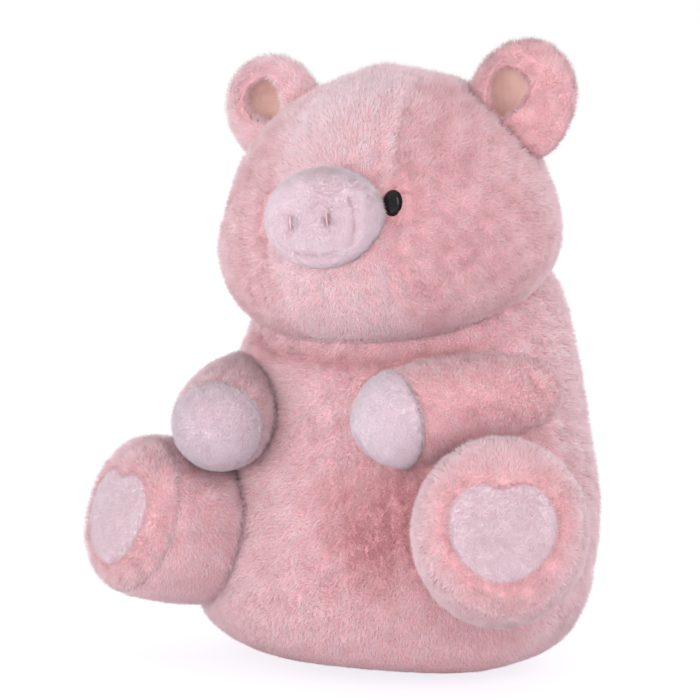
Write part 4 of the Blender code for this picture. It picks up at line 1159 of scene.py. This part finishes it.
light = {
    "world": 1.16,
    "keyPower": 12.0, "keySize": (1.4, 1.0), "keyPlace": (-0.25, -1.35, 0.12),
    "fillPower": 6.5, "fillSize": (0.30, 1.1), "fillPlace": (1.33, -0.31, 0.85),
    "sidePower": 1.7, "sideSize": (0.9, 0.7), "sidePlace": (-1.15, -0.60, 0.60),
    "backPower": 1.5, "backSize": (1.0, 1.0), "backPlace": (0.3, 1.2, 1.0),
    "aim": (0, -0.02, 0.10),
}


# Turns a lamp or camera so that its -Z points at the target
def faceTo(thing, target):
    way = Vector(target) - thing.location
    thing.rotation_mode = "QUATERNION"
    thing.rotation_quaternion = way.to_track_quat("-Z", "Y")


def softLamp(name, power, size, place):
    data = bpy.data.lights.new(name, "AREA")
    data.shape = "RECTANGLE"
    data.size, data.size_y = size
    data.energy = power
    lamp = addPiece(name, data)
    lamp.location = place
    lamp.visible_glossy = name == "fill"    # only this upright strip shows in the eyes
    faceTo(lamp, light["aim"])


for lampName in ("key", "fill", "side", "back"):
    softLamp(lampName, light[lampName + "Power"], light[lampName + "Size"], light[lampName + "Place"])

world = bpy.data.worlds.new("studio")
bpy.context.scene.world = world
world.use_nodes = True
nodes, links = world.node_tree.nodes, world.node_tree.links
background = nodes["Background"]
seen = nodes.new("ShaderNodeLightPath")
white = nodes.new("ShaderNodeMath")
white.operation = "MAXIMUM"
links.new(seen.outputs["Is Camera Ray"], white.inputs[0])
links.new(seen.outputs["Is Glossy Ray"], white.inputs[1])
strength = nodes.new("ShaderNodeMapRange")
strength.inputs["To Min"].default_value = light["world"]
strength.inputs["To Max"].default_value = 1
links.new(white.outputs[0], strength.inputs["Value"])
links.new(strength.outputs["Result"], background.inputs["Strength"])
background.inputs["Color"].default_value = (1, 1, 1, 1)

floorLook = {"size": 30.0, "colour": (0.90, 0.89, 0.92), "glow": (0.825, 0.812, 0.848), "share": 0.23,
             "drop": 0.0002}
half = floorLook["size"] / 2
floorMesh = bpy.data.meshes.new("floor")
corners = [(-half, -half, 0), (half, -half, 0), (half, half, 0), (-half, half, 0)]
floorMesh.from_pydata(corners, [], [(0, 1, 2, 3)])
floor = addPiece("floor", floorMesh)
floor.location.z = -floorLook["drop"]
# the floor lights the object as pale card does; the camera sees its glow and a share of its light,
# which holds the shadow
floorPaint, nodes, links, shader = newMaterial("floor_paint")
shader.inputs["Base Color"].default_value = (*floorLook["colour"], 1)
shader.inputs["Roughness"].default_value = 1
shader.inputs["Specular IOR Level"].default_value = 0
glow = nodes.new("ShaderNodeEmission")
glow.inputs["Color"].default_value = (*floorLook["glow"], 1)
glow.inputs["Strength"].default_value = 1
shadow = nodes.new("ShaderNodeBsdfDiffuse")
shadow.inputs["Color"].default_value = tuple(c * floorLook["share"] for c in floorLook["colour"]) + (1,)
both = nodes.new("ShaderNodeAddShader")
links.new(glow.outputs[0], both.inputs[0])
links.new(shadow.outputs[0], both.inputs[1])
seen = nodes.new("ShaderNodeLightPath")
picked = nodes.new("ShaderNodeMixShader")
links.new(seen.outputs["Is Camera Ray"], picked.inputs[0])
links.new(shader.outputs[0], picked.inputs[1])
links.new(both.outputs[0], picked.inputs[2])
links.new(picked.outputs[0], nodes["Material Output"].inputs["Surface"])
floorMesh.materials.append(floorPaint)

camera = {
    "azimuth": 28,          # degrees round from straight ahead
    "elevation": 6,
    "distance": 1.2,
    "lens": 138, "sensor": 36,
    "target": (0, -0.050, 0.147),
}
az, el = math.radians(camera["azimuth"]), math.radians(camera["elevation"])
towards = Vector((math.sin(az) * math.cos(el), -math.cos(az) * math.cos(el), math.sin(el)))
lens = bpy.data.cameras.new("camera")
lens.lens = camera["lens"]
lens.sensor_width = camera["sensor"]
view = addPiece("camera", lens)
view.location = Vector(camera["target"]) + towards * camera["distance"]
faceTo(view, camera["target"])
bpy.context.scene.camera = view
bpy.context.scene.view_settings.view_transform = "Standard"
print("stage and camera made")
